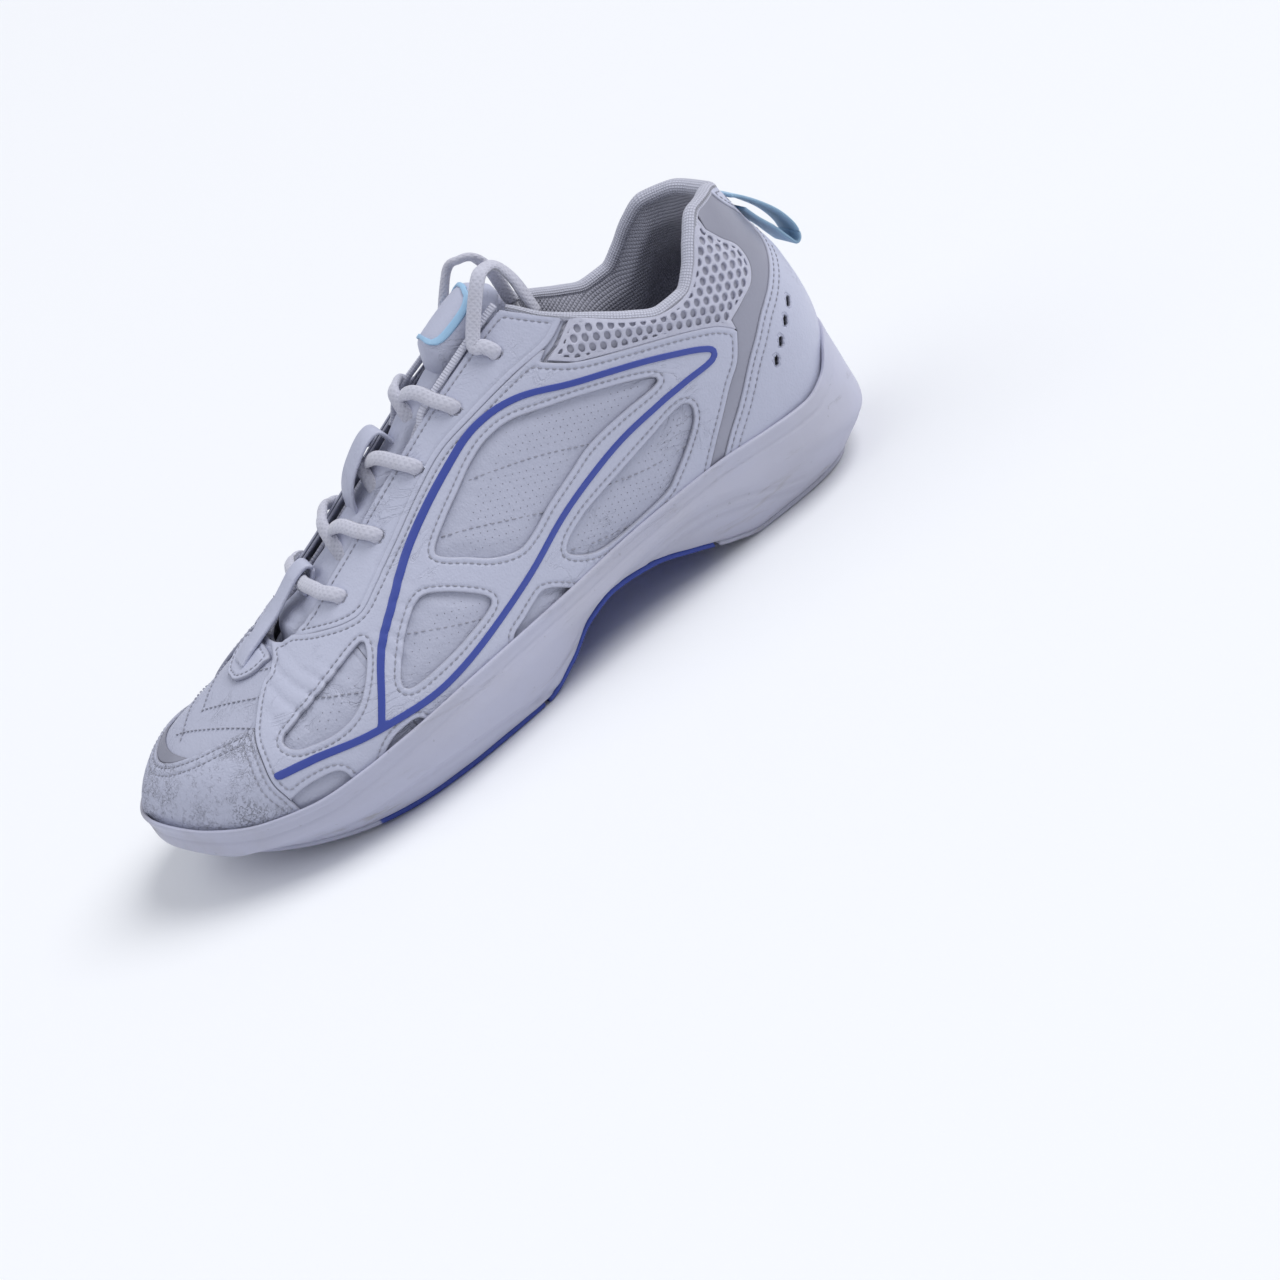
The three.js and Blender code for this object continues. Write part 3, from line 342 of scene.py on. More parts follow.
def makeMesh(name, points, faces, uv=None, edge=None):
    mesh = bpy.data.meshes.new(name)
    mesh.from_pydata(((np.asarray(points, float) + toOrigin) * 0.001).tolist(), [], [list(map(int, f)) for f in faces])
    if uv is not None:
        layer = mesh.uv_layers.new(name="along")
        corner = np.zeros(len(mesh.loops), np.int32)
        mesh.loops.foreach_get("vertex_index", corner)
        layer.data.foreach_set("uv", np.asarray(uv, np.float32)[corner].ravel())
    # distance from its edge, which wear and dirt follow
    worn = np.full(len(mesh.vertices), 3.0) if edge is None else edge
    mesh.attributes.new("edge", "FLOAT", "POINT").data.foreach_set("value", np.asarray(worn, np.float32))
    mesh.validate()
    mesh.polygons.foreach_set("use_smooth", np.ones(len(mesh.polygons), bool))
    mesh.update()
    piece = bpy.data.objects.new(name, mesh)
    bpy.context.scene.collection.objects.link(piece)
    return piece


def borderLoops(triangles):   # directed border edges of a clipped part
    edges = np.concatenate([triangles[:, [0, 1]], triangles[:, [1, 2]], triangles[:, [2, 0]]])
    key = edges[:, 0].astype(np.int64) * 10 ** 7 + edges[:, 1]
    back = edges[:, 1].astype(np.int64) * 10 ** 7 + edges[:, 0]
    return edges[~np.isin(key, back)]


def runsAt(points, triangles, level):   # chains the cut along one level into runs of points
    on = np.abs(points[:, 8] - level) < 1e-9
    edges = np.concatenate([triangles[:, [0, 1]], triangles[:, [1, 2]], triangles[:, [2, 0]]])
    edges = np.unique(np.sort(edges[on[edges].all(1)], axis=1), axis=0)
    near = {}
    for a, b in edges.tolist():
        near.setdefault(a, []).append(b)
        near.setdefault(b, []).append(a)
    left = {tuple(sorted(e)) for e in edges.tolist()}
    runs = []
    starts = [k for k, v in near.items() if len(v) == 1] + list(near)
    for start in starts:
        here, run = start, [start]
        while True:
            step = next((k for k in near[here] if tuple(sorted((here, k))) in left), None)
            if step is None:
                break
            left.discard(tuple(sorted((here, step))))
            run.append(step)
            here = step
        if len(run) > 6:
            runs.append(run)
    return runs


seamRuns = {"upper": [], "tongue": []}   # paths that the stitches follow, by body


def softened(run, times=6):
    run = np.array(run, float)
    for _ in range(times):
        run[1:-1] = (run[:-2] + 2 * run[1:-1] + run[2:]) / 4
    return run


# A closed layer of material between two distances from the last. The edge is rounded, a seam pulls the layer down,
# and swell(points) lifts its face.
def panel(name, field, low, high, edge=0.5, seams=(), swell=None, dent=0.22, stitched=None, body="upper",
          under=None, keepSeam=None):
    rounding = [edge * k for k in (0.12, 0.4, 1.0)] if edge > 0 else []
    valleys = [s + d for s in seams for d in (-0.8, -0.35, 0, 0.35, 0.8)]
    points, triangles = clip(field, rounding + valleys)
    distance = points[:, 8]
    top = np.full(len(points), float(high))
    if edge > 0:
        inside = np.clip(1 - distance / edge, 0, 1)
        top -= min(edge, (high - low) * 0.7) * (1 - np.sqrt(np.maximum(1 - inside ** 2, 0)))
    for s in seams:
        top -= dent * np.exp(-((distance - s) / 0.45) ** 2)
    place, normal = points[:, :3], points[:, 3:6]
    if swell is not None:
        top = top + swell(points)
    bottom = np.full(len(points), float(low)) if under is None else low + under(points)
    outer, inner = place + normal * top[:, None], place + normal * bottom[:, None]
    border = borderLoops(triangles)
    n = len(points)
    wall = np.concatenate([np.stack([border[:, 1], border[:, 0], border[:, 0] + n], 1),
                           np.stack([border[:, 1], border[:, 0] + n, border[:, 1] + n], 1)])
    faces = np.concatenate([triangles, triangles[:, ::-1] + n, wall])
    uv = np.stack([points[:, 6] * 330, points[:, 7] * 100], 1)
    worn = np.clip(distance, 0, 6)
    for s in seams:
        worn = np.minimum(worn, 0.25 + np.abs(distance - s))
    piece = makeMesh(name, np.concatenate([outer, inner]), faces, np.concatenate([uv, uv]),
                     edge=np.concatenate([worn, worn]))
    for s in (seams if stitched is None else stitched):
        for run in runsAt(points, triangles, s):
            path = outer[run] + normal[run] * 0.12
            if keepSeam is not None:
                good = keepSeam(path)
                edges = np.flatnonzero(np.diff(np.concatenate([[0], good.astype(int), [0]])))
                for a, b in zip(edges[::2], edges[1::2]):
                    if b - a > 8:
                        seamRuns[body].append(softened(path[a:b]))
            else:
                seamRuns[body].append(softened(path))
    return piece


def spotAt(a, b, side, distance=0.0, plan=False):   # where the last, moved out, reaches x and z, or x and y
    a, b = np.broadcast_arrays(np.asarray(a, float), np.asarray(b, float))
    axes = [0, 1] if plan else [0, 2]
    known = wholeLast.point[..., axes].reshape(-1, 2)
    allowed = (wholeLast.v.reshape(-1) <= 1) if side == "outer" else (wholeLast.v.reshape(-1) >= 1)
    known = np.where(allowed[:, None], known, 1e6)
    flat = np.stack([a.ravel(), b.ravel()], 1)
    nearest = np.array([((known - p) ** 2).sum(1).argmin() for p in flat])
    u, v = wholeLast.u.reshape(-1)[nearest].copy(), wholeLast.v.reshape(-1)[nearest].copy()
    place = lambda u, v: lastPoint(u, v) + lastNormal(u, v) * (distance + wear(lastPoint(u, v)))[..., None]
    for _ in range(4):
        here, step = place(u, v)[:, axes], 1e-3
        du = (place(u + step, v)[:, axes] - here) / step
        dv = (place(u, v + step)[:, axes] - here) / step
        miss = flat - here
        size = du[:, 0] * dv[:, 1] - du[:, 1] * dv[:, 0]
        size = np.where(np.abs(size) < 50, 50 * np.sign(size + 1e-9), size)
        u = np.clip(u + np.clip((miss[:, 0] * dv[:, 1] - miss[:, 1] * dv[:, 0]) / size, -0.02, 0.02), 0, 1)
        v = np.clip(v + np.clip((du[:, 0] * miss[:, 1] - du[:, 1] * miss[:, 0]) / size, -0.02, 0.02), 0, 2)
    return place(u, v), lastNormal(u, v)


def spotAlong(x, v, distance):   # where the last reaches x at a given height up its side
    x, v = np.broadcast_arrays(np.asarray(x, float), np.asarray(v, float))
    low, high = np.zeros(x.shape), np.ones(x.shape)
    for _ in range(40):
        middle = (low + high) / 2
        ahead = lastPoint(middle, v)[..., 0] > x
        low, high = np.where(ahead, middle, low), np.where(ahead, high, middle)
    normal = lastNormal(low, v)
    return lastPoint(low, v) + normal * np.asarray(distance)[..., None], normal


# outlines seen from the side, (x, z)
eyestayEdge = [(57, 99), (48, 94.5), (34, 92), (17, 88), (3, 84), (-11, 77), (-25, 69), (-38, 62), (-46, 58), (-52, 57),
               (-60, 57), (-71, 57)]
collarEdge = [(43, 91.5), (52, 86.5), (67, 82), (83, 77), (95, 72), (101, 67)]
meshLobe = [(101, 70.5), (108, 73), (114, 75.5), (117, 80), (116.5, 86), (113, 91), (110, 96)]
stripFront = [(101, 67), (96, 59), (90, 54), (83, 47), (77, 41), (68, 31), (62, 20)]
stripRear = [(117, 110), (121, 98), (126, 90), (129, 83), (127, 77.5), (119, 71), (111, 66), (105, 61), (99, 56),
             (90, 47),
             (81, 39), (72, 29), (67, 20)]
overlayFront = [(-97, 38), (-98.5, 32), (-97, 26), (-95, 14)]
wingFront = [(-60, 57), (-71, 57), (-77, 53), (-84, 50), (-91, 45.5), (-95, 42)]
windowOutlines = {
    "upper": [(70, 70), (62, 73.5), (48, 77.5), (36, 80), (25, 82), (16, 81), (8, 78), (-1, 73), (-10, 68), (-17, 63.5),
              (-17.5, 61), (-11, 57), (-5, 53), (3, 50.5), (10, 52), (19, 56), (30, 60), (41, 64), (55, 66.5),
              (68, 68)],
    "rear": [(75, 57), (74, 52), (68, 46), (60, 40), (53, 36.5), (36, 34.5), (24, 35), (16, 40), (18, 43.5), (26, 47),
             (33, 49), (46, 52), (58, 55), (70, 58)],
    "middle": [(-31, 54.5), (-26, 54), (-19, 50), (-13.5, 45), (-15, 42), (-27, 39), (-36, 37.5), (-48, 36.5),
               (-50, 39),
               (-44, 45.5), (-38, 50.5)],
    "front": [(-51.5, 52), (-53, 49), (-58, 44), (-64, 39.5), (-70, 37), (-77, 36), (-86, 36.5), (-89, 38.5),
              (-87, 40.5),
              (-78, 43.5), (-66, 47.5), (-56, 51)],
    "low": [(13, 24), (11, 30), (3, 36), (-2, 35.2), (-8, 33), (-14, 30.6), (-14, 25), (0, 22)],
    "recess": [(-51, 24), (-52, 28.6), (-57, 28.9), (-63, 27.5), (-69, 23), (-66, 19), (-55, 20)],
    "toe": [(-98, 22), (-97, 26), (-93, 27.6), (-87, 28.3), (-81, 27.9), (-79, 25.5), (-80, 21), (-89, 19)],
}
stripeRuns = {
    "front": [(-63, 31.8), (-59, 36.6), (-49, 48), (-37, 57), (-24, 66), (-11, 73.5), (2, 80), (11, 84), (19, 86),
              (27, 86.5),
              (35, 85.5), (47, 82), (59, 79), (71, 75.5), (83, 71), (88, 68.6), (90.4, 66.8), (90.0, 65.0), (87, 64.0),
              (78, 63.6), (68, 62.8)],
    "rear": [(70, 63), (56, 61), (45, 58.5), (30, 54), (19, 50), (5, 44), (-8, 39.5), (-22, 35.5), (-35, 32.7),
             (-46, 31.5), (-60, 31.7), (-70, 32.0), (-83, 33.0), (-96, 33)],
}
vents = [(122, 62), (117.5, 58.5), (112.5, 54.5), (108, 50.5)]
# outlines seen from above, (x, y)
throatOutline = [(60, -13), (34, -12), (14, -12), (-6, -12), (-28, -12), (-48, -12.5), (-60, -12.5), (-70, -9),
                 (-73.5, 3),
                 (-70, 14), (-60, 19), (-48, 17.5), (-28, 15), (-6, 12), (14, 10), (34, 10), (60, 9.5)]
toeCapEdge = [(-60, -80), (-91, -26), (-94, -21.5), (-103, -16), (-113, -9.5), (-121, -1), (-124, 8), (-121, 17),
              (-113, 26), (-103, 33), (-93, 38), (-90, 43), (-60, 90)]
tongueOutline = [(43, -20), (46, -8), (46, 10), (43, 21), (20, 24), (-20, 26), (-50, 27), (-72, 25), (-80, 17),
                 (-80, -7),
                 (-72, -17), (-50, -21), (-20, -22), (20, -23)]
eyeletX, eyeletRise = [-48, -28, -6, 14, 34], 0.66

mouthOutline = joined(smooth(topline), [(160, 95), (160, 160), (42, 160)])
throatRun = joined(throatOutline[:5], smooth(throatOutline[5:13]), throatOutline[13:])
overlayOutline = joined(smooth(eyestayEdge[1:-2] + wingFront + overlayFront), [(62, 0)], smooth(stripFront)[::-1],
                        smooth(collarEdge)[::-1])
stripOutline = joined(smooth(stripFront)[::-1], smooth(meshLobe), [(112, 110)], smooth(stripRear))
heelOutline = joined(smooth(stripRear), [(67, 0), (170, 0), (170, 130), (117, 130)])
eyestayOutline = joined(smooth(eyestayEdge), [(-74, 57), (-74, 130), (57, 130)])
meshOutline = joined([(45, 91)], smooth(collarEdge[1:]), smooth(meshLobe),
                     [(110, 120), (58.5, 120), (58.5, 98), (50, 92.8)])
capOutline = joined(smooth(toeCapEdge), [(-180, 90), (-180, -80)])


def outOf(*fields):
    return np.minimum.reduce([-f for f in fields])


def eyeletField(radius):
    field = np.full(grid.u.shape, 9.0)
    for x in eyeletX:
        for v in (eyeletRise, 2 - eyeletRise):
            centre = spotAlong(x, v, 0.0)[0]
            field = np.minimum(field, np.linalg.norm(grid.point - centre, axis=-1) - radius)
    return field


def ventField(grow=0.0):
    field = np.full(grid.u.shape, 9.0)
    for x, z in vents:
        dx, dz = grid.point[..., 0] - x, grid.point[..., 2] - z
        along, across = 0.55 * dx + 0.83 * dz, -0.83 * dx + 0.55 * dz
        reach = np.maximum(np.abs(along) - 1.0, 0)
        field = np.minimum(field, np.hypot(reach, across) - 0.85 - grow)
    return field


notMouth = -fieldOf(mouthOutline)
notThroat = -fieldOf(throatRun, plan=True)
openings = np.minimum(notMouth, notThroat)
windowField = np.maximum.reduce([fieldOf(smooth(w, 5, closed=True)) for w in windowOutlines.values()])
overlayField = fieldOf(overlayOutline)
stripField = fieldOf(stripOutline)
heelField = fieldOf(heelOutline)
capField = fieldOf(capOutline, plan=True)
meshField = fieldOf(meshOutline)
eyelets = 12 * eyeletField(1.75)   # steep, so that no seam runs round a hole
aboveSole = grid.point[..., 2] - 17.5
print("outlines ready")


# main layers of the upper, each with its lower and upper distance from the last
upper = {"underlay": (1.0, 2.0), "overlay": (2.2, 3.4), "eyestay": (2.1, 2.95), "silver": (2.1, 2.9),
         "stripe": (3.3, 3.72),
         "toeCap": (2.2, 3.35), "accent": (2.1, 2.8), "stripeWidth": 1.95, "windowPuff": 0.75, "mainSeam": 1.9,
         "capSeams": (1.6, 4.1), "heelSeams": (1.8, 4.3)}
eyestayCurve = curveThrough(eyestayEdge)
pieces = {}
windowPuff = lambda points: upper["windowPuff"] * smoothStep(windowAt(points), 0.5, 6)


def sampler(field):   # reads a field of the whole last at clipped points, from their u and v
    along, across = grid.u.shape[0] - 1, grid.u.shape[1] - 1
    line = grid.u[:, 0]

    def read(points):
        i = np.clip(np.searchsorted(line, points[:, 6]) - 1, 0, along - 1)
        s = np.clip((points[:, 6] - line[i]) / (line[i + 1] - line[i]), 0, 1)
        w = points[:, 7] / 2 * across
        j = np.clip(np.floor(w).astype(int), 0, across - 1)
        t = w - j
        return ((1 - s) * (1 - t) * field[i, j] + s * (1 - t) * field[i + 1, j] + (1 - s) * t * field[i, j + 1]
                + s * t * field[i + 1, j + 1])
    return read


windowAt = sampler(windowField)
vampZone = np.minimum(grid.point[..., 0] + 129, -54 - grid.point[..., 0])
pieces["vamp"] = panel("vamp", np.minimum.reduce([vampZone, notThroat, aboveSole, eyelets]), *upper["underlay"],
                       edge=0.4,
                       seams=(upper["mainSeam"],), stitched=(), swell=lambda p: 0.5 * np.maximum(windowPuff(p), 0))
for side in ("outer", "inner"):
    here = sideField(side)
    base = np.minimum.reduce([grid.point[..., 0] + 54, here, openings, aboveSole, eyelets])
    pieces["quarter_" + side] = panel("quarter_" + side, base, *upper["underlay"], edge=0.4, swell=windowPuff)
    stay = np.minimum.reduce([fieldOf(eyestayOutline), here, openings, eyelets])
    pieces["eyestay_" + side] = panel(
        "eyestay_" + side, stay, *upper["eyestay"], seams=(2.1,),
        keepSeam=lambda p: (p[:, 2] - eyestayCurve(p[:, 0]) > 5) & (np.abs(p[:, 1] - 2) > 8) | (p[:, 0] < -46)
                                      & (np.abs(p[:, 1] - 2) > 12))
    over = np.minimum.reduce([overlayField, here, outOf(windowField), openings, aboveSole])
    pieces["quarter_overlay_" + side] = panel("quarter_overlay_" + side, over, *upper["overlay"],
                                              seams=(upper["mainSeam"],))
    strip = np.minimum.reduce([stripField, here, openings, aboveSole])
    pieces["silver_strip_" + side] = panel("silver_strip_" + side, strip, *upper["silver"], edge=0.3)
    stripe = np.maximum.reduce([fieldOf(band(smooth(run), upper["stripeWidth"])) for run in stripeRuns.values()])
    pieces["side_stripe_" + side] = panel("side_stripe_" + side, np.minimum(stripe, here), *upper["stripe"], edge=0.25)
pieces["toe_cap"] = panel("toe_cap", np.minimum.reduce([capField, outOf(overlayField + 0.15), aboveSole]),
                          *upper["toeCap"], seams=upper["capSeams"])
accentEdge = smooth([(-110, -17), (-117.5, -3), (-119.8, 8), (-117.5, 19), (-110, 34)])
accent = fieldOf(joined([(-160, -30)], accentEdge, [(-160, 46)]), plan=True)
pieces["toe_accent"] = panel("toe_accent", np.minimum(accent, outOf(capField + 0.1)), *upper["accent"], edge=0.3)
nearStrip = lambda p: np.abs(insideDistance(stripOutline, p[:, 0], p[:, 2])[0]) < 5.5
pieces["heel_foxing"] = panel("heel_foxing", np.minimum.reduce([heelField, notMouth, 12 * ventField(), aboveSole]),
                              *upper["overlay"], seams=upper["heelSeams"], keepSeam=nearStrip)
print("layers", {k: len(v.data.polygons) for k, v in pieces.items()})

# padded collar: foam, holed mesh over it, lining inside and the rolled edge
collar = {"holePitch": 3.25, "holeSize": 1.12, "puff": 1.5, "rollBulge": 1.0}
collarPuff = lambda points: collar["puff"] * smoothStep(meshAt(points), 0.0, 7)
meshAt = sampler(np.minimum(meshField, notMouth + 3))
underMesh = np.minimum.reduce([meshField + 1.5, notMouth, notThroat])
pieces["collar_foam"] = panel("collar_foam", underMesh, 1.0, 2.0, edge=0.3, swell=collarPuff)


def meshHoles(pitch, size):   # distance outside a net of round holes, laid out along the collar
    slope = 0.42
    a = grid.point[..., 0] * math.cos(slope) - grid.point[..., 2] * math.sin(slope)
    b = grid.point[..., 0] * math.sin(slope) + grid.point[..., 2] * math.cos(slope)
    row = pitch * math.sqrt(3) / 2
    best = np.full(a.shape, 9.0)
    for shift in (0, 1):
        rowAt = np.round((b / row - shift) / 2) * 2 + shift
        columnAt = np.round(a / pitch - 0.5 * (rowAt % 2)) + 0.5 * (rowAt % 2)
        best = np.minimum(best, np.hypot(1.12 * (a - columnAt * pitch), 0.88 * (b - rowAt * row)) - size)
    return best


for side in ("outer", "inner"):
    grid = Grid((0.06, 0.46), (0.2, 0.72) if side == "outer" else (1.28, 1.8), 280, 150)
    zone = np.minimum.reduce([fieldOf(meshOutline), -fieldOf(mouthOutline), -fieldOf(throatRun, plan=True)])
    holes = np.maximum(meshHoles(collar["holePitch"], collar["holeSize"]), 1.3 - zone)

    def swellMesh(points):   # the net follows the foam
        x, z = points[:, 0], points[:, 2]
        flatField = insideDistance(meshOutline, x, z)[0]
        depth = np.minimum(flatField, toplineAt(x) - z + 3)
        return collar["puff"] * smoothStep(depth, 0.0, 7)
    pieces["collar_mesh_" + side] = panel("collar_mesh_" + side, np.minimum(zone, holes), 2.15, 2.95, edge=0.3,
                                          swell=swellMesh)
grid = wholeLast

liningPad = lambda points: -collarPad(points[:, :3])
grid = Grid((0, 1), (0, 2), 200, 140)
inBody = np.minimum.reduce([-fieldOf(mouthOutline), -fieldOf(throatRun, plan=True), 12 * eyeletField(1.9),
                            grid.point[..., 2] - 16])
pieces["lining"] = panel("lining", inBody, -1.9, -0.6, edge=0.0, under=liningPad)
grid = wholeLast
print("collar")


def toplineSpots(count):   # u and v along the topline, from the outer front corner round the heel to the inner one
    low, high = 0.0, 1.0
    for _ in range(40):
        middle = (low + high) / 2
        low, high = (middle, high) if lastPoint(middle, 0.0)[0] > 44 else (low, middle)
    us, vs = [], []
    for side in (0, 2):
        u = np.linspace(0, low, count)
        a, b = np.full(count, 0.1), np.full(count, 1.0)
        for _ in range(30):
            middle = (a + b) / 2
            p = lastPoint(u, middle if side == 0 else 2 - middle)
            below = p[:, 2] < toplineAt(p[:, 0])
            a, b = np.where(below, middle, a), np.where(below, b, middle)
        v = a if side == 0 else 2 - a
        us.append(u[::-1] if side == 0 else u[1:])
        vs.append(v[::-1] if side == 0 else v[1:])
    return np.concatenate(us), np.concatenate(vs)


def sweep(name, rows, uv):   # rows of points joined up
    rows = np.asarray(rows, float)
    count, width = rows.shape[:2]
    faces = []
    for i in range(count - 1):
        for j in range(width):
            m = (j + 1) % width
            faces.append((i * width + j, i * width + m, (i + 1) * width + m, (i + 1) * width + j))
    faces.append(tuple(range(width))[::-1])
    faces.append(tuple((count - 1) * width + j for j in range(width)))
    return makeMesh(name, rows.reshape(-1, 3), faces, np.asarray(uv).reshape(-1, 2))


def topRoll():
    u, v = toplineSpots(130)
    p, n = lastPoint(u, v), lastNormal(u, v)
    p = p + n * wear(p)[:, None]
    behind = smoothStep(p[:, 0], 50, 72)
    along = unit(np.gradient(p, axis=0))
    up = unit(np.cross(along, n))
    up = np.where(up[:, 2:3] < 0, -up, up)
    outside = np.where(behind > 0.5, 3.2, 3.0) + 0.4 * behind
    inside = -1.95 - 0.6 * behind
    rows = []
    for angle in np.linspace(0, 2 * math.pi, 20, endpoint=False):
        middle, half = (outside + inside) / 2, (outside - inside) / 2
        across = middle + half * math.cos(angle)
        height = 0.2 + (1.5 + collar["rollBulge"] * behind) * max(math.sin(angle), -0.75)
        rows.append(p + n * across[:, None] + up * height[:, None])
    rows = np.stack(rows, 1)
    length = np.concatenate([[0], np.cumsum(np.linalg.norm(np.diff(p, axis=0), axis=1))])
    uv = np.stack(np.meshgrid(length, np.arange(20) * 0.9, indexing="ij"), -1)
    return sweep("collar_binding", rows, uv)


pieces["collar_binding"] = topRoll()
print("roll")


# moulded sole
sole = {"steps": 230, "accentDrop": 5.2}


def footPoint(u, side, distance):
    step, v = 0.002, np.where(np.asarray(side) < 0, 0.0, 2.0)
    here = lastPoint(u, v)
    along = lastPoint(u + step, v) - lastPoint(u - step, v)
    along[..., 2] = 0
    along = unit(along)
    side = np.asarray(side, float)
    out = np.stack([side * along[..., 1], -side * along[..., 0]], -1)
    out = np.where((u < step)[..., None], np.array([1.0, 0.0]), out)
    out = np.where((u > 1 - step)[..., None], np.array([-1.0, 0.0]), out)
    return here[..., :2] + out * np.asarray(distance)[..., None], out


def uAt(x):
    low, high = 0.0, 1.0
    for _ in range(40):
        middle = (low + high) / 2
        low, high = (middle, high) if lastPoint(middle, 0.0)[0] > x else (low, middle)
    return low


heelFlare = lambda x: smoothStep(x, 85, 130)
soleGrooves = [
    ([(97, 6), (89, 10), (75, 16), (64, 19), (52, 19), (40, 16.5)], 0.7),
    ([(99, 10), (88, 14.5), (74, 20.5), (60, 23.5), (46, 23), (34, 20)], 0.5),
    ([(-10, 3), (-21, 6), (-46, 10), (-68, 10.5), (-84, 8.5), (-100, 9)], 0.6),
    ([(24, 20), (10, 15), (-4, 9), (-18, 5)], 0.6),
]


# rows of points that follow the foot line, one row for each ring
def slabRows(rings, fromX=200, toX=-200, steps=None):
    steps = steps or sole["steps"]
    start, end = uAt(fromX), uAt(toX)
    t = np.linspace(0, 1, steps + 1)
    u = start + (end - start) * t
    u = np.concatenate([u, u[::-1]])
    side = np.concatenate([-np.ones(steps + 1), np.ones(steps + 1)])
    x = lastPoint(u, 0.0 * u)[:, 0]
    rows = []
    for distance, flare, height in rings:
        p, out = footPoint(u, side, distance + flare * heelFlare(x))
        rows.append(np.concatenate([p, np.broadcast_to(height(p[:, 0]), u.shape)[:, None]], 1))
    return np.array(rows)


def slabMesh(name, rows, lidTop=True):
    count, n = rows.shape[:2]
    half = n // 2
    faces = []
    for r in range(count - 1):
        for k in range(n):
            m = (k + 1) % n
            faces.append((r * n + k, (r + 1) * n + k, (r + 1) * n + m, r * n + m))
    for k in range(half - 1):
        mate = n - 1 - k
        faces.append((k, k + 1, mate - 1, mate))
        if lidTop:
            top = (count - 1) * n
            faces.append((top + k, top + mate, top + mate - 1, top + k + 1))
    piece = makeMesh(name, rows.reshape(-1, 3), faces)
    shape = bmesh.new()
    shape.from_mesh(piece.data)
    bmesh.ops.remove_doubles(shape, verts=shape.verts, dist=2e-6)
    shape.to_mesh(piece.data)
    shape.free()
    return piece


def soleBody():
    level = lambda f, up: (lambda x: f(x) + up)
    control = [
        (-9.0, 0.5, level(groundAt, 2.7)), (-4.6, 1, level(groundAt, 2.6)), (-3.2, 1.2, level(groundAt, 2.9)),
        (0.4, 2.6, lambda x: (2 * groundAt(x) + 1.2 * wallRidgeAt(x)) / 3.2 + 1.6),
        (3.2, 4, lambda x: (groundAt(x) + 2.2 * wallRidgeAt(x)) / 3.2 + 1), (5, 4, wallRidgeAt),
        (5.0, 3.2, lambda x: 0.6 * wallRidgeAt(x) + 0.4 * featherAt(x)),
               (4.9, 2.4, lambda x: 0.3 * wallRidgeAt(x) + 0.7 * featherAt(x)),
        (5.2, 1.6, level(featherAt, -1.6)), (5.25, 1.5, level(featherAt, -0.7)), (5.0, 1.4, level(featherAt, -0.2)),
        (4.5, 1.2, featherAt), (4.0, 1.2, level(featherAt, -0.15)), (3.75, 1.2, level(featherAt, -0.8)),
        (3.6, 1.1, level(featherAt, -4)),
    ]
    rows = slabRows(control)
    parts = [1, 3, 8, 8, 8, 8, 8, 6, 3, 3, 3, 3, 3, 3]
    fine = []
    for i, steps in enumerate(parts):   # a smooth curve through the rings
        k = [max(i - 1, 0), i, i + 1, min(i + 2, len(rows) - 1)]
        a, b, c, d = rows[k]
        for t in np.linspace(0, 1, steps, endpoint=False):
            fine.append(0.5 * (2 * b + (c - a) * t + (2 * a - 5 * b + 4 * c - d) * t ** 2 + (3 * b - a - 3 * c + d)
                               * t ** 3))
    fine.append(rows[-1])
    rows = np.array(fine)
    n = rows.shape[1]
    side = np.concatenate([-np.ones(n // 2), np.ones(n // 2)])
    along = unit(np.gradient(rows[:, :, :2], axis=1))
    out = np.stack([along[..., 1], -along[..., 0]], -1) * -1
    x, z = rows[..., 0], rows[..., 2]
    push = np.zeros(x.shape)
    for run, depth in soleGrooves:
        run = smooth(run, 8)
        gap = np.full(x.shape, 99.0)
        for p, q in zip(run[:-1], run[1:]):
            d = q - p
            t = np.clip(((x - p[0]) * d[0] + (z - p[1]) * d[1]) / (d @ d), 0, 1)
            gap = np.minimum(gap, np.hypot(x - p[0] - t * d[0], z - p[1] - t * d[1]))
        push -= depth * np.exp(-(gap / 0.9) ** 2)
        push += 0.35 * depth * np.exp(-((gap - 2.6) / 1.6) ** 2)
    accent = z - (featherAt(x) - sole["accentDrop"])
    push -= 0.30 * np.exp(-(accent / 0.45) ** 2)
    push += 0.18 * waves(np.stack([x, rows[..., 1], z], -1), 24, 21, 2)
    wall = (np.arange(len(rows)) > 2) & (np.arange(len(rows)) < len(rows) - 10)
    rows[..., :2] += out * (push * wall[:, None])[..., None]
    return slabMesh("midsole", rows, lidTop=False)


pieces["midsole"] = soleBody()
print("sole")

# heel vents: a thin near-black sheet under the holes is painted shade, standing in for the dark inside of the vents
grid = wholeLast
pieces["heel_vents"] = panel("heel_vents", -ventField(0.5), 2.02, 2.12, edge=0.0)


# stitches, made by one node tree that places a thread along every seam
stitch = {"spacing": 2.2, "length": 1.5, "thickness": 0.52}


def addSocket(tree, name, kind, value, direction="INPUT"):
    socket = tree.interface.new_socket(name=name, in_out=direction, socket_type=kind)
    if value is not None:
        socket.default_value = value
    return socket.identifier


def link(tree, a, aName, b, bName):
    tree.links.new(a.outputs[aName], b.inputs[bName])


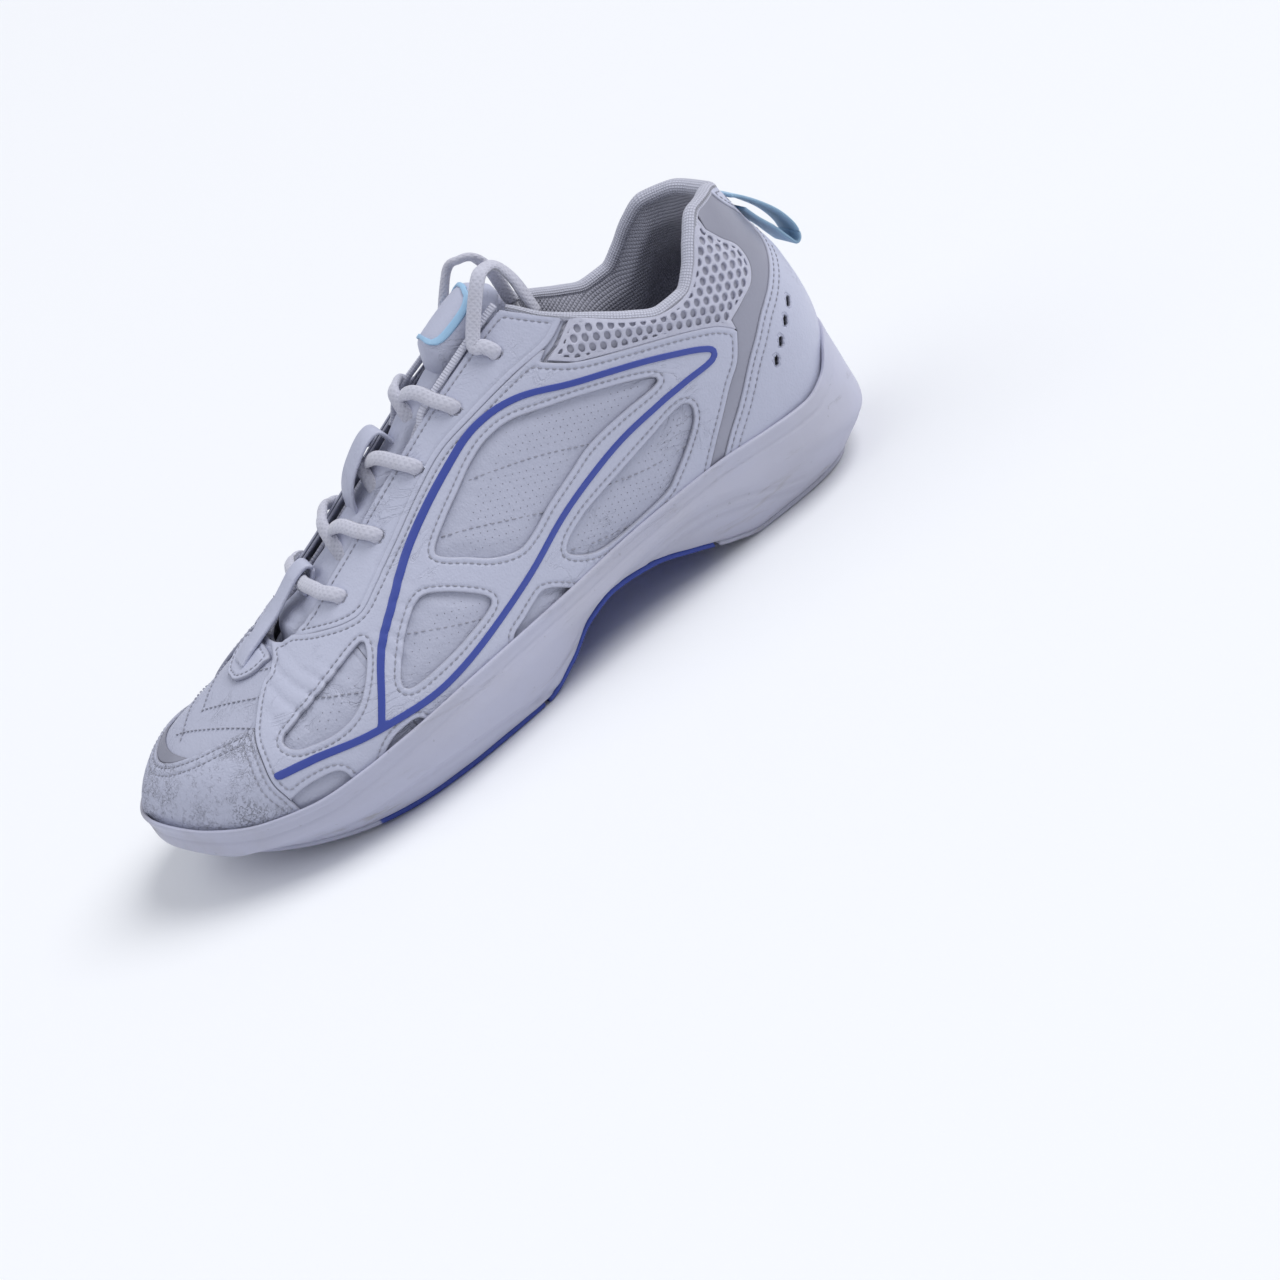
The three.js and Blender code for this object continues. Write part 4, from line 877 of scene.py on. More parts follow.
def stitchTree(material):
    tree = bpy.data.node_groups.new("stitchesAlongSeams", "GeometryNodeTree")
    addSocket(tree, "Geometry", "NodeSocketGeometry", None)
    ids = {"Spacing": addSocket(tree, "Spacing", "NodeSocketFloat", 0.003),
           "Length": addSocket(tree, "Length", "NodeSocketFloat", 0.002),
           "Thickness": addSocket(tree, "Thickness", "NodeSocketFloat", 0.0006)}
    addSocket(tree, "Geometry", "NodeSocketGeometry", None, "OUTPUT")
    new = lambda kind: tree.nodes.new(kind)
    start, end = new("NodeGroupInput"), new("NodeGroupOutput")
    resample, toPoints = new("GeometryNodeResampleCurve"), new("GeometryNodeCurveToPoints")
    place = new("GeometryNodeInstanceOnPoints")
    resample.mode, toPoints.mode = "LENGTH", "EVALUATED"
    thread, size, turn = new("GeometryNodeMeshUVSphere"), new("ShaderNodeCombineXYZ"), new("FunctionNodeRandomValue")
    thread.inputs["Segments"].default_value, thread.inputs["Rings"].default_value = 6, 5
    thread.inputs["Radius"].default_value = 0.5
    turn.inputs["Seed"].default_value = 4
    turn.inputs[2].default_value, turn.inputs[3].default_value = 0.9, 1.08
    longer = new("ShaderNodeMath")
    longer.operation = "MULTIPLY"
    realize, setMaterial = new("GeometryNodeRealizeInstances"), new("GeometryNodeSetMaterial")
    setMaterial.inputs["Material"].default_value = material
    link(tree, start, "Geometry", resample, "Curve")
    link(tree, start, "Spacing", resample, "Length")
    link(tree, resample, "Curve", toPoints, "Curve")
    link(tree, toPoints, "Points", place, "Points")
    link(tree, toPoints, "Rotation", place, "Rotation")
    link(tree, thread, "Mesh", place, "Instance")
    link(tree, start, "Thickness", size, "X")
    link(tree, start, "Thickness", size, "Y")
    tree.links.new(start.outputs["Length"], longer.inputs[0])
    tree.links.new(turn.outputs[1], longer.inputs[1])
    tree.links.new(longer.outputs[0], size.inputs["Z"])
    link(tree, size, "Vector", place, "Scale")
    link(tree, place, "Instances", realize, "Geometry")
    link(tree, realize, "Geometry", setMaterial, "Geometry")
    link(tree, setMaterial, "Geometry", end, "Geometry")
    return tree, ids


def curveOf(name, runs):
    curve = bpy.data.curves.new(name, "CURVE")
    curve.dimensions = "3D"
    for run in runs:
        line = curve.splines.new("POLY")
        line.points.add(len(run) - 1)
        place = (np.asarray(run) + toOrigin) * 0.001
        line.points.foreach_set("co", np.concatenate([place, np.ones((len(run), 1))], 1).astype(np.float32).ravel())
    piece = bpy.data.objects.new(name, curve)
    bpy.context.scene.collection.objects.link(piece)
    return piece


def asMesh(source, name):   # the evaluated shape as a plain mesh
    bpy.context.view_layer.update()
    made = bpy.data.meshes.new_from_object(source.evaluated_get(bpy.context.evaluated_depsgraph_get()))
    made.name = name
    piece = bpy.data.objects.new(name, made)
    bpy.context.scene.collection.objects.link(piece)
    bpy.data.objects.remove(source)
    return piece


def sewn(name, runs, material):
    source = curveOf(name + "Path", runs)
    tree, ids = stitchTree(material)
    modifier = source.modifiers.new("stitches", "NODES")
    modifier.node_group = tree
    modifier[ids["Spacing"]] = stitch["spacing"] * 0.001
    modifier[ids["Length"]] = stitch["length"] * 0.001
    modifier[ids["Thickness"]] = stitch["thickness"] * 0.001
    return asMesh(source, name)


# decorative rows sewn on the underlay inside the windows and across the vamp
windowRows = [[(4, 74), (15, 72), (27, 69), (41, 64)], [(-15, 65.5), (-2, 62), (18, 54.5)],
              [(33, 51.5), (53, 47), (69, 45.5)],
              [(18, 40), (27, 37), (39, 34.6)], [(-43, 50), (-30, 45), (-17, 40)], [(-76, 46), (-61, 42), (-57, 41)]]
vampRows = [[(-90, 3), (-80, -9), (-68, -23)], [(-104, 6), (-93, -8), (-78, -25)], [(-115, 9), (-106, -5), (-94, -21)]]


def sewRow(run, side, plan=False):
    run = smooth(run, 10)
    place, normal = spotAt(run[:, 0], run[:, 1], side, 0.0, plan)
    fake = np.zeros((len(place), 9))
    fake[:, :3] = place
    near = ((wholeLast.point[::4, ::4, None, :] - place[None, None]) ** 2).sum(-1).reshape(-1, len(place)).argmin(0)
    fake[:, 6] = wholeLast.u[::4, ::4].reshape(-1)[near]
    fake[:, 7] = wholeLast.v[::4, ::4].reshape(-1)[near]
    lift = upper["underlay"][1] + (windowPuff(fake) if not plan else 0.25)
    return place + normal * np.reshape(lift + 0.02, (-1, 1))


for row in windowRows:
    for side in ("outer", "inner"):
        seamRuns["upper"].append(sewRow(row, side))
for row in vampRows:
    seamRuns["upper"].append(sewRow(row, "outer", plan=True))
    seamRuns["upper"].append(sewRow([(x, 12 - y) for x, y in row], "inner", plan=True))
print("rows sewn")


# fine perforations in the underlay, drawn as small dark discs whose colour is painted shade of the holes
def perforationTree(material):
    tree = bpy.data.node_groups.new("perforations", "GeometryNodeTree")
    addSocket(tree, "Geometry", "NodeSocketGeometry", None)
    sizeId = addSocket(tree, "Size", "NodeSocketFloat", 0.0003)
    addSocket(tree, "Geometry", "NodeSocketGeometry", None, "OUTPUT")
    new = lambda kind: tree.nodes.new(kind)
    start, end, place = new("NodeGroupInput"), new("NodeGroupOutput"), new("GeometryNodeInstanceOnPoints")
    dot, normal = new("GeometryNodeMeshCircle"), new("GeometryNodeInputNamedAttribute")
    align = new("FunctionNodeAlignEulerToVector")
    dot.fill_type, dot.inputs["Vertices"].default_value, dot.inputs["Radius"].default_value = "NGON", 6, 1.0
    normal.data_type, normal.inputs["Name"].default_value = "FLOAT_VECTOR", "outward"
    align.axis = "Z"
    realize, setMaterial = new("GeometryNodeRealizeInstances"), new("GeometryNodeSetMaterial")
    setMaterial.inputs["Material"].default_value = material
    link(tree, start, "Geometry", place, "Points")
    link(tree, dot, "Mesh", place, "Instance")
    link(tree, normal, "Attribute", align, "Vector")
    link(tree, align, "Rotation", place, "Rotation")
    link(tree, start, "Size", place, "Scale")
    link(tree, place, "Instances", realize, "Geometry")
    link(tree, realize, "Geometry", setMaterial, "Geometry")
    link(tree, setMaterial, "Geometry", end, "Geometry")
    return tree, sizeId


perforation = {"pitch": 2.1, "size": 0.2}


def perforate(material):
    points, normals = [], []
    for key in ("upper", "rear", "middle", "front"):
        outline = smooth(windowOutlines[key], 5, closed=True)
        low, high = outline.min(0), outline.max(0)
        a, b = np.meshgrid(np.arange(low[0], high[0], perforation["pitch"]),
                           np.arange(low[1], high[1], perforation["pitch"]))
        b = b - 0.32 * (a - low[0]) % perforation["pitch"]
        field = insideDistance(outline, a, b)[0]
        keep = field > 2.2
        for row in windowRows:
            path = smooth(row, 4)
            keep &= np.min(np.hypot(a[..., None] - path[:, 0], b[..., None] - path[:, 1]), axis=-1) > 2.0
        a, b, field = a[keep], b[keep], field[keep]
        for side in ("outer", "inner"):
            place, normal = spotAt(a, b, side)
            lift = 2.0 + 0.75 * smoothStep(field, 0.5, 6) + 0.05
            points.append(place + normal * lift[:, None])
            normals.append(normal)
    points, normals = np.concatenate(points), np.concatenate(normals)
    source = makeMesh("perforationSpots", points, [])
    outward = source.data.attributes.new("outward", "FLOAT_VECTOR", "POINT")
    outward.data.foreach_set("vector", normals.astype(np.float32).ravel())
    tree, sizeId = perforationTree(material)
    modifier = source.modifiers.new("perforations", "NODES")
    modifier.node_group = tree
    modifier[sizeId] = perforation["size"] * 0.001
    return asMesh(source, "perforations")


# lace: one flat braid through the keeper and up both sides, tucked over the tongue at the top
lace = {"width": 4.9, "thickness": 2.7, "clear": 0.1}


def laceRoutes():
    over, under = 3.0 + lace["thickness"] / 2 + lace["clear"], -1.9 - lace["thickness"] / 2 - 0.5
    mirror = lambda v, side: v if side == 0 else 2 - v
    runs = []

    def spot(x, v, side, lift):
        p, n = spotAlong(x, mirror(v, side), np.array(float(lift)))
        return p, n

    def hole(row, side):
        x = eyeletX[row]
        return [spot(x + ahead, v, side, lift) for ahead, v, lift in
                [(-3.2, 0.745, over + 0.2), (-1.6, 0.704, over + 0.25), (-0.4, eyeletRise + 0.016, over - 0.5),
                 (0, eyeletRise, over - 2.4),
                 (0, eyeletRise, under + 1.6), (0, eyeletRise + 0.02, under)]]

    def crossing(row, side, middle):
        route = [(0.16, 0.76, under), (0.28, 0.84, under + 0.1), (0.5, 1.0, middle), (0.66, 1.13, 3.9),
                 (0.76, 1.19, over + 0.4)]
        return [spot(eyeletX[row] + t * (eyeletX[row + 1] - eyeletX[row]), v, side, lift) for t, v, lift in route]
    for side in (0, 1):
        here = side
        points = [spot(-54, 0.98, side, 1.9), spot(-53.6, 0.88, side, 3.3),
                  spot(-52, 0.79, side, over + 0.2)] + hole(0, side)
        for row in range(3):
            points += crossing(row, here, 2.9 if here == 0 else 0.2)
            here = 1 - here
            points += hole(row + 1, here)
        points += [spot(24, eyeletRise, here, under)] + hole(4, here)[::-1]
        hand = -1 if here == 0 else 1
        for x, y, lift in [(40.5, 14.5, 6.4), (45.5, 11.5, 7.0), (49.7, 10, 4.4), (52.4, 10, -2.5),
                           (53.2, 10.5, -10), (53.6, 11, -16)]:
            p = np.array([x, 1 + y * hand, ridgeAt(x) + lift])
            points.append((p, unit(np.array([0.25, 0.35 * hand, 1.0]))))
        runs.append((np.array([p for p, n in points]), np.array([n for p, n in points])))
    return runs


def resampled(path, step, *others):
    path = smooth(path, 12)
    others = [smooth(o, 12) for o in others]
    length = np.concatenate([[0], np.cumsum(np.linalg.norm(np.diff(path, axis=0), axis=1))])
    at = np.linspace(0, length[-1], max(int(length[-1] / step), 8))
    pick = lambda table: np.stack([np.interp(at, length, table[:, k]) for k in range(table.shape[1])], 1)
    return at, pick(path), [pick(o) for o in others]


def ribbon(name, path, normal, width, thickness, sides=14, power=0.85):   # soft flattened cord along a path
    at, path, (normal,) = resampled(path, 0.75, normal)
    along = unit(np.gradient(path, axis=0))
    across = unit(np.cross(along, normal))
    for i in range(1, len(across)):   # no sudden flips
        if across[i] @ across[i - 1] < 0:
            across[i] = -across[i]
    for _ in range(8):
        across[1:-1] = unit(across[:-2] + 2 * across[1:-1] + across[2:])
    across = unit(across - along * (across * along).sum(1, keepdims=True))
    up = np.cross(across, along)
    angle = np.linspace(0, 2 * math.pi, sides, endpoint=False)
    ca, sa = np.cos(angle), np.sin(angle)
    ca, sa = np.sign(ca) * np.abs(ca) ** power, np.sign(sa) * np.abs(sa) ** power
    rows = path[:, None] + across[:, None] * (ca * width / 2)[None, :, None] + up[:,
            None] * (sa * thickness / 2)[None, :, None]
    uv = np.stack(np.meshgrid(at, angle / (2 * math.pi), indexing="ij"), -1)
    return sweep(name, rows, uv), at[-1]


routes = laceRoutes()
halves = [ribbon("laceHalf", path, normal, lace["width"], lace["thickness"]) for path, normal in routes]
laceLength = sum(h[1] for h in halves)


def merged(name, objects):
    bpy.ops.object.select_all(action="DESELECT")
    for piece in objects:
        piece.select_set(True)
    bpy.context.view_layer.objects.active = objects[0]
    bpy.ops.object.join()
    objects[0].name = objects[0].data.name = name
    return objects[0]


pieces["lace"] = merged("lace", [h[0] for h in halves])
tips = []
for path, normal in routes:
    way = unit(path[-1] - path[-2])
    line = np.array([path[-1] + way * d for d in (0.2, 3.0, 6.0, 9.5)])
    tips.append(ribbon("tip", line, np.repeat(normal[-1:], 4, 0), 3.2, 2.3, power=1.0)[0])
pieces["lace_tips"] = merged("lace_tips", tips)
print("lace", round(laceLength))


# padded tongue with its lining, badge and keepers
tongue = {"low": -8.8, "high": -5.2, "bulge": 3.4, "frontRise": 2.2, "quilt": 0.35, "padHeight": 6.8, "badgeRing": 1.7}


def planField(outline):
    return fieldOf(smooth(outline, 6, closed=True), plan=True)


upperHalf = (grid.point[..., 2] - 34) - (grid.point[..., 0] + 80) * (46 / 140)
tongueField = np.minimum(planField(tongueOutline), upperHalf)
crownAt, throatAt = sampler(tongueField), sampler(-notThroat)


def tonguePad(points):   # padding that is thickest along the middle and at the top
    x = points[:, 0]
    fieldHere = np.clip(crownAt(points), 0, 9)
    rows = tongue["quilt"] * np.cos(x * 2 * math.pi / 17) * smoothStep(x, -55, -40) * (1 - smoothStep(x, 8, 16))
    between = tongue["bulge"] * smoothStep(throatAt(points), 0.5, 7)   # it bulges up between the eyestays
    between += tongue["frontRise"] * (1 - smoothStep(x, -66, -57)) * smoothStep(throatAt(points), -1, 4)
    return -1.6 + 1.5 * smoothStep(fieldHere, 0, 5) + rows * smoothStep(fieldHere, 3, 7) + between


pieces["tongue"] = panel("tongue", tongueField, tongue["low"], tongue["high"], edge=1.2, seams=(3.2,),
                         body="tongue", swell=tonguePad, dent=0.35,
                         keepSeam=lambda p: p[:, 0] > -60)
pieces["tongue_lining"] = panel("tongue_lining", tongueField - 0.6, -10.0, -9.1, edge=0.4)
padOutline = [(18, -9.5), (30, -11.5), (41, -11), (46.5, -6), (47.5, 0.5), (46.5, 7), (41, 11.5), (30, 11.5),
              (18, 9.5), (14, 0)]
padField = planField(padOutline)
padAt = sampler(padField)
padSwell = lambda points: -6.0 + tongue["padHeight"] * smoothStep(padAt(points), -0.5, 7.5)
pieces["tongue_pad"] = panel("tongue_pad", padField, -5.6, 4.6, edge=1.6, swell=padSwell, body="tongue", seams=(),
                             dent=0.3)
badgeOutline = [(22.5, -5.5), (30, -7), (37.5, -6.5), (40.5, -3), (41, 0.5), (40.5, 4), (37.5, 6.8), (30, 7),
                (22.5, 5.8), (20.5, 0)]
badgeField = planField(badgeOutline)
pieces["tongue_badge"] = panel("tongue_badge", np.minimum(badgeField, tongue["badgeRing"] - badgeField), 4.6, 4.95,
                               edge=0.3, body="tongue",
                               # a plain raised ring
                               swell=lambda p: padSwell(p) + 0.05, under=lambda p: padSwell(p) - 0.4)


def strap(name, profile, centreY, width, thickness):   # a leather strap that rises over something
    at, line, _ = resampled(np.array(profile, float), 0.6)
    along = unit(np.gradient(line, axis=0))
    up = np.stack([-along[:, 1], along[:, 0]], 1)
    up = np.where(up[:, 1:] < 0, -up, up)
    section = []
    half, corner = width / 2, thickness / 2
    for angle in np.linspace(-math.pi / 2, math.pi / 2, 5):
        section.append((half - corner + corner * math.cos(angle), corner * math.sin(angle)))
    for angle in np.linspace(math.pi / 2, 3 * math.pi / 2, 5):
        section.append((-half + corner + corner * math.cos(angle), corner * math.sin(angle)))
    rows = []
    for p, u in zip(line, up):
        rows.append([(p[0] + u[0] * s[1], centreY + s[0], p[1] + u[1] * s[1]) for s in section])
    rows = np.array(rows)
    uv = np.stack(np.meshgrid(at, np.arange(10.0), indexing="ij"), -1)
    return sweep(name, rows, uv)


keeperLine = [(x, float(ridgeAt(x)) + up) for x,
              up in [(-28.9, -4.6), (-27.2, 1.2), (-23.5, 4.6), (-17.5, 5.9), (-12, 5.6), (-8.2, 3.0), (-6.2, -4.0)]]
pieces["tongue_keeper"] = strap("tongue_keeper", keeperLine, 3, 11.5, 1.3)
strapLine = [(x, float(ridgeAt(x)) + up) for x, up in
             [(-86, 3.4), (-82, 4.3), (-76, 4.6), (-68, 4.6), (-61, 5.2), (-56, 5.4), (-51.6, 4.2), (-50.0, 1.6),
              (-52, -0.3), (-57, -0.6)]]
pieces["lace_keeper"] = strap("lace_keeper", strapLine, 4.5, 9.5, 1.5)
keeperOutline = [(-76, -6), (-76, 15), (-80, 16.5), (-85, 14.5), (-89.5, 9), (-90, 4.5), (-89.5, 0), (-85, -5),
                 (-80, -7)]
pieces["keeper_base"] = panel("keeper_base", planField(keeperOutline), 2.0, 3.5, seams=(1.5,))
print("tongue")


# pull tab: a folded ribbon loop behind the heel
tabLine = [(130.6, 94.9), (133.6, 92.8), (138.6, 87.6), (143.4, 81.2), (146.4, 74.4), (146.6, 69.6), (144.6, 68.2),
           (142.6, 71.4),
           (139.6, 77.4), (135.9, 83.2), (133.2, 88.4)]
pieces["pull_tab"] = strap("pull_tab", tabLine, 0, 14.5, 1.1)

# woven tape round the upper end of the throat
tape = []
for side, edgeY in (("outer", -13.1), ("inner", 11.1)):
    x = np.linspace(-2, 42, 23)
    place, normal = spotAt(x, np.full(x.shape, edgeY), side, 3.3 - 3.6 * (1 - smoothStep(x, -2, 5)), plan=True)
    tape.append(ribbon("tape", place, normal, 2.4, 2.0, power=0.9)[0])
pieces["throat_tape"] = merged("throat_tape", tape)

# footbed, inner sole and pads
footAt = curveThrough([(r[0][0], r[2]) for r in ribs])
lift = lambda f, up: (lambda x: f(x) + up)
inside = -3.1   # the footbed stays this far within the foot line
pieces["insole_board"] = slabMesh("insole_board",
                                  slabRows([(inside, 0, footAt), (inside, 0, lift(footAt, 2))], steps=90))
pieces["footbed"] = slabMesh("footbed", slabRows([
    (inside - 0.3, 0, lift(footAt, 2.3)), (inside - 0.3, 0, lift(footAt, 6.3)), (inside - 0.8, 0, lift(footAt, 7.0)),
    (inside - 1.6, 0, lift(footAt, 7.2)), (inside - 4, 0, lift(footAt, 6.7)), (inside - 9, 0, lift(footAt, 6)),
    (inside - 16, 0, lift(footAt, 5.8))], steps=160))


def padRows(fromX, toX, steps):
    return slabRows([(-7, 1, groundAt), (-5.2, 1, groundAt), (-4.5, 1, lift(groundAt, 0.25)),
                     (-4.2, 1, lift(groundAt, 0.8)),
                     (-4.2, 1, lift(groundAt, 2.2))], fromX, toX, steps)


pads = {"slide_sole": (-15, -200), "arch_plate": (62, -13), "heel_rubber": (200, 64)}
for name, (fromX, toX) in pads.items():
    pieces[name] = slabMesh(name, padRows(fromX, toX, 90))
print("pads")


# camera, lights and floor
view = {"azimuth": -11.6, "elevation": 28.6, "roll": -30.8, "distance": 650.0, "lens": 53.4, "slideX": 34.0,
        "slideY": 0.4}


def makeCamera():
    a, e, r = (math.radians(view[k]) for k in ("azimuth", "elevation", "roll"))
    back = np.array([math.sin(a) * math.cos(e), -math.cos(a) * math.cos(e), math.sin(e)])
    right = np.array([math.cos(a), math.sin(a), 0])
    up = np.cross(back, right)
    turn = np.array([[math.cos(r), math.sin(r), 0], [-math.sin(r), math.cos(r), 0], [0, 0, 1]]) @ np.array([right,
            up, back])
    place = turn.T @ np.array([view["slideX"], view["slideY"], view["distance"]])
    data = bpy.data.cameras.new("camera")
    data.lens, data.sensor_width, data.clip_start, data.clip_end = view["lens"], 36, 0.01, 20
    camera = bpy.data.objects.new("camera", data)
    matrix = Matrix([list(row) for row in turn.T]).to_4x4()
    matrix.translation = Vector((place + toOrigin) * 0.001)
    camera.matrix_world = matrix
    bpy.context.scene.collection.objects.link(camera)
    bpy.context.scene.camera = camera


makeCamera()


def softSun(name, way, strength, spread, color):
    data = bpy.data.lights.new(name, "SUN")
    data.energy, data.angle, data.color = strength, math.radians(spread), color
    lamp = bpy.data.objects.new(name, data)
    lamp.matrix_world = (-Vector(way)).to_track_quat("-Z", "Y").to_matrix().to_4x4()
    bpy.context.scene.collection.objects.link(lamp)


studio = {"keySun": ((0.85, -0.2, 1.0), 1.95, 38, (1.0, 1.0, 1.0)),
          "fillSun": ((-0.6, 0.2, 1.0), 0.7, 60, (0.93, 0.96, 1.0)),
          "ambient": 0.46, "ambientColor": (0.86, 0.88, 0.95, 1), "floorReach": 60, "floorDrop": 0.0002}
softSun("keySun", *studio["keySun"])
softSun("fillSun", *studio["fillSun"])
world = bpy.data.worlds.new("studio")
world.use_nodes = True
world.node_tree.nodes["Background"].inputs[0].default_value = studio["ambientColor"]
world.node_tree.nodes["Background"].inputs[1].default_value = studio["ambient"]
bpy.context.scene.world = world
bpy.context.scene.view_settings.view_transform = "Standard"

floorMesh = bpy.data.meshes.new("floor")
reach, drop = studio["floorReach"], -studio["floorDrop"]
floorMesh.from_pydata([(-reach, -reach, drop), (reach, -reach, drop), (reach, reach, drop), (-reach, reach, drop)],
                      [], [(0, 1, 2, 3)])
floor = bpy.data.objects.new("floor", floorMesh)
bpy.context.scene.collection.objects.link(floor)


# materials
class Signal:   # a varying number in a shader, used like a number
    def __init__(self, shader, socket):
        self.shader, self.socket = shader, socket

    def maths(self, operation, other=None, swap=False):
        pair = [self] if other is None else ([other, self] if swap else [self, other])
        return self.shader.node("ShaderNodeMath", {"operation": operation}, *pair)

    def __add__(self, other): return self.maths("ADD", other)
    def __radd__(self, other): return self.maths("ADD", other)
    def __sub__(self, other): return self.maths("SUBTRACT", other)
    def __rsub__(self, other): return self.maths("SUBTRACT", other, True)
    def __mul__(self, other): return self.maths("MULTIPLY", other)
    def __rmul__(self, other): return self.maths("MULTIPLY", other)
    def __pow__(self, other): return self.maths("POWER", other)
    def sine(self): return self.maths("SINE")
    def size(self): return self.maths("ABSOLUTE")
    def least(self, other): return self.maths("MINIMUM", other)
    def most(self, other): return self.maths("MAXIMUM", other)

    def ramp(self, low, high, lowValue=0.0, highValue=1.0):
        return self.shader.node("ShaderNodeMapRange", {"interpolation_type": "SMOOTHSTEP"}, self, low, high,
                                lowValue, highValue)


class Finish:
    def __init__(self, name, color, roughness, **settings):
        self.material = bpy.data.materials.new(name)
        self.material.use_nodes = True
        self.tree = self.material.node_tree
        self.shader = self.tree.nodes["Principled BSDF"]
        self.shader.inputs["Base Color"].default_value = (*color, 1)
        self.shader.inputs["Roughness"].default_value = roughness
        self.color = color
        for key, value in settings.items():
            self.shader.inputs[key.replace("_", " ")].default_value = value
        self.coords = self.tree.nodes.new("ShaderNodeTexCoord")
        self.height = None

    def node(self, kind, settings, *values, output=0):
        made = self.tree.nodes.new(kind)
        for key, value in settings.items():
            setattr(made, key, value)
        for i, value in enumerate(values):
            if value is None:
                continue
            if isinstance(value, Signal):
                self.tree.links.new(value.socket, made.inputs[i])
            else:
                made.inputs[i].default_value = value
        return Signal(self, made.outputs[output])

    def place(self, scale=(1, 1, 1), turn=(0, 0, 0)):
        source = Signal(self, self.coords.outputs["Object"])
        return self.node("ShaderNodeMapping", {}, source, None, turn, scale)

    def noise(self, scale, detail=4.0, roughness=0.55, distortion=0.0, at=None):
        made = self.tree.nodes.new("ShaderNodeTexNoise")
        for key, value in {"Scale": scale, "Detail": detail, "Roughness": roughness, "Distortion": distortion}.items():
            made.inputs[key].default_value = value
        self.tree.links.new((at or Signal(self, self.coords.outputs["Object"])).socket, made.inputs["Vector"])
        return Signal(self, made.outputs[0])

    def cells(self, scale, feature="F1", randomness=1.0, at=None):
        made = self.tree.nodes.new("ShaderNodeTexVoronoi")
        made.feature = feature
        made.inputs["Scale"].default_value, made.inputs["Randomness"].default_value = scale, randomness
        self.tree.links.new((at or Signal(self, self.coords.outputs["Object"])).socket, made.inputs["Vector"])
        return Signal(self, made.outputs["Distance"])

    def attribute(self, name):
        made = self.tree.nodes.new("ShaderNodeAttribute")
        made.attribute_name = name
        return Signal(self, made.outputs["Fac"])

    def axes(self, uv=False):
        made = self.tree.nodes.new("ShaderNodeSeparateXYZ")
        self.tree.links.new(self.coords.outputs["UV" if uv else "Object"], made.inputs[0])
        return [Signal(self, made.outputs[k]) for k in range(3)]

    def blend(self, amount, first, second):
        made = self.tree.nodes.new("ShaderNodeMix")
        made.data_type = "RGBA"
        self.tree.links.new(amount.socket, made.inputs[0])
        for slot, value in ((6, first), (7, second)):
            if isinstance(value, Signal):
                self.tree.links.new(value.socket, made.inputs[slot])
            else:
                made.inputs[slot].default_value = (*value, 1)
        return Signal(self, made.outputs[2])

    def colored(self, *layers):   # each layer is an amount and the colour that it brings
        current = self.color
        for amount, color in layers:
            current = self.blend(amount, current, color)
        self.tree.links.new(current.socket, self.shader.inputs["Base Color"])
        return self

    def rough(self, signal):
        self.tree.links.new(signal.socket, self.shader.inputs["Roughness"])
        return self

    def raised(self, *layers):   # each layer is a height signal and how many metres it spans
        normal = None
        for signal, depth in layers:
            made = self.tree.nodes.new("ShaderNodeBump")
            made.inputs["Distance"].default_value = depth
            self.tree.links.new(signal.socket, made.inputs["Height"])
            if normal is not None:
                self.tree.links.new(normal, made.inputs["Normal"])
            normal = made.outputs[0]
        self.tree.links.new(normal, self.shader.inputs["Normal"])
        return self


palette = {"leather": (0.505, 0.525, 0.655), "grime": (0.25, 0.25, 0.29), "sole": (0.485, 0.495, 0.62),
           "silver": (0.33, 0.335, 0.41),
           "blue": (0.040, 0.066, 0.33), "sky": (0.36, 0.58, 0.80), "net": (0.62, 0.63, 0.76),
           # thread is much darker than the off-white thread itself: partly dirt, partly painted shade of the dents it
           # sits in
           "lining": (0.42, 0.425, 0.51),
           "lace": (0.56, 0.565, 0.66), "thread": (0.33, 0.335, 0.40), "stain": (0.36, 0.345, 0.35)}


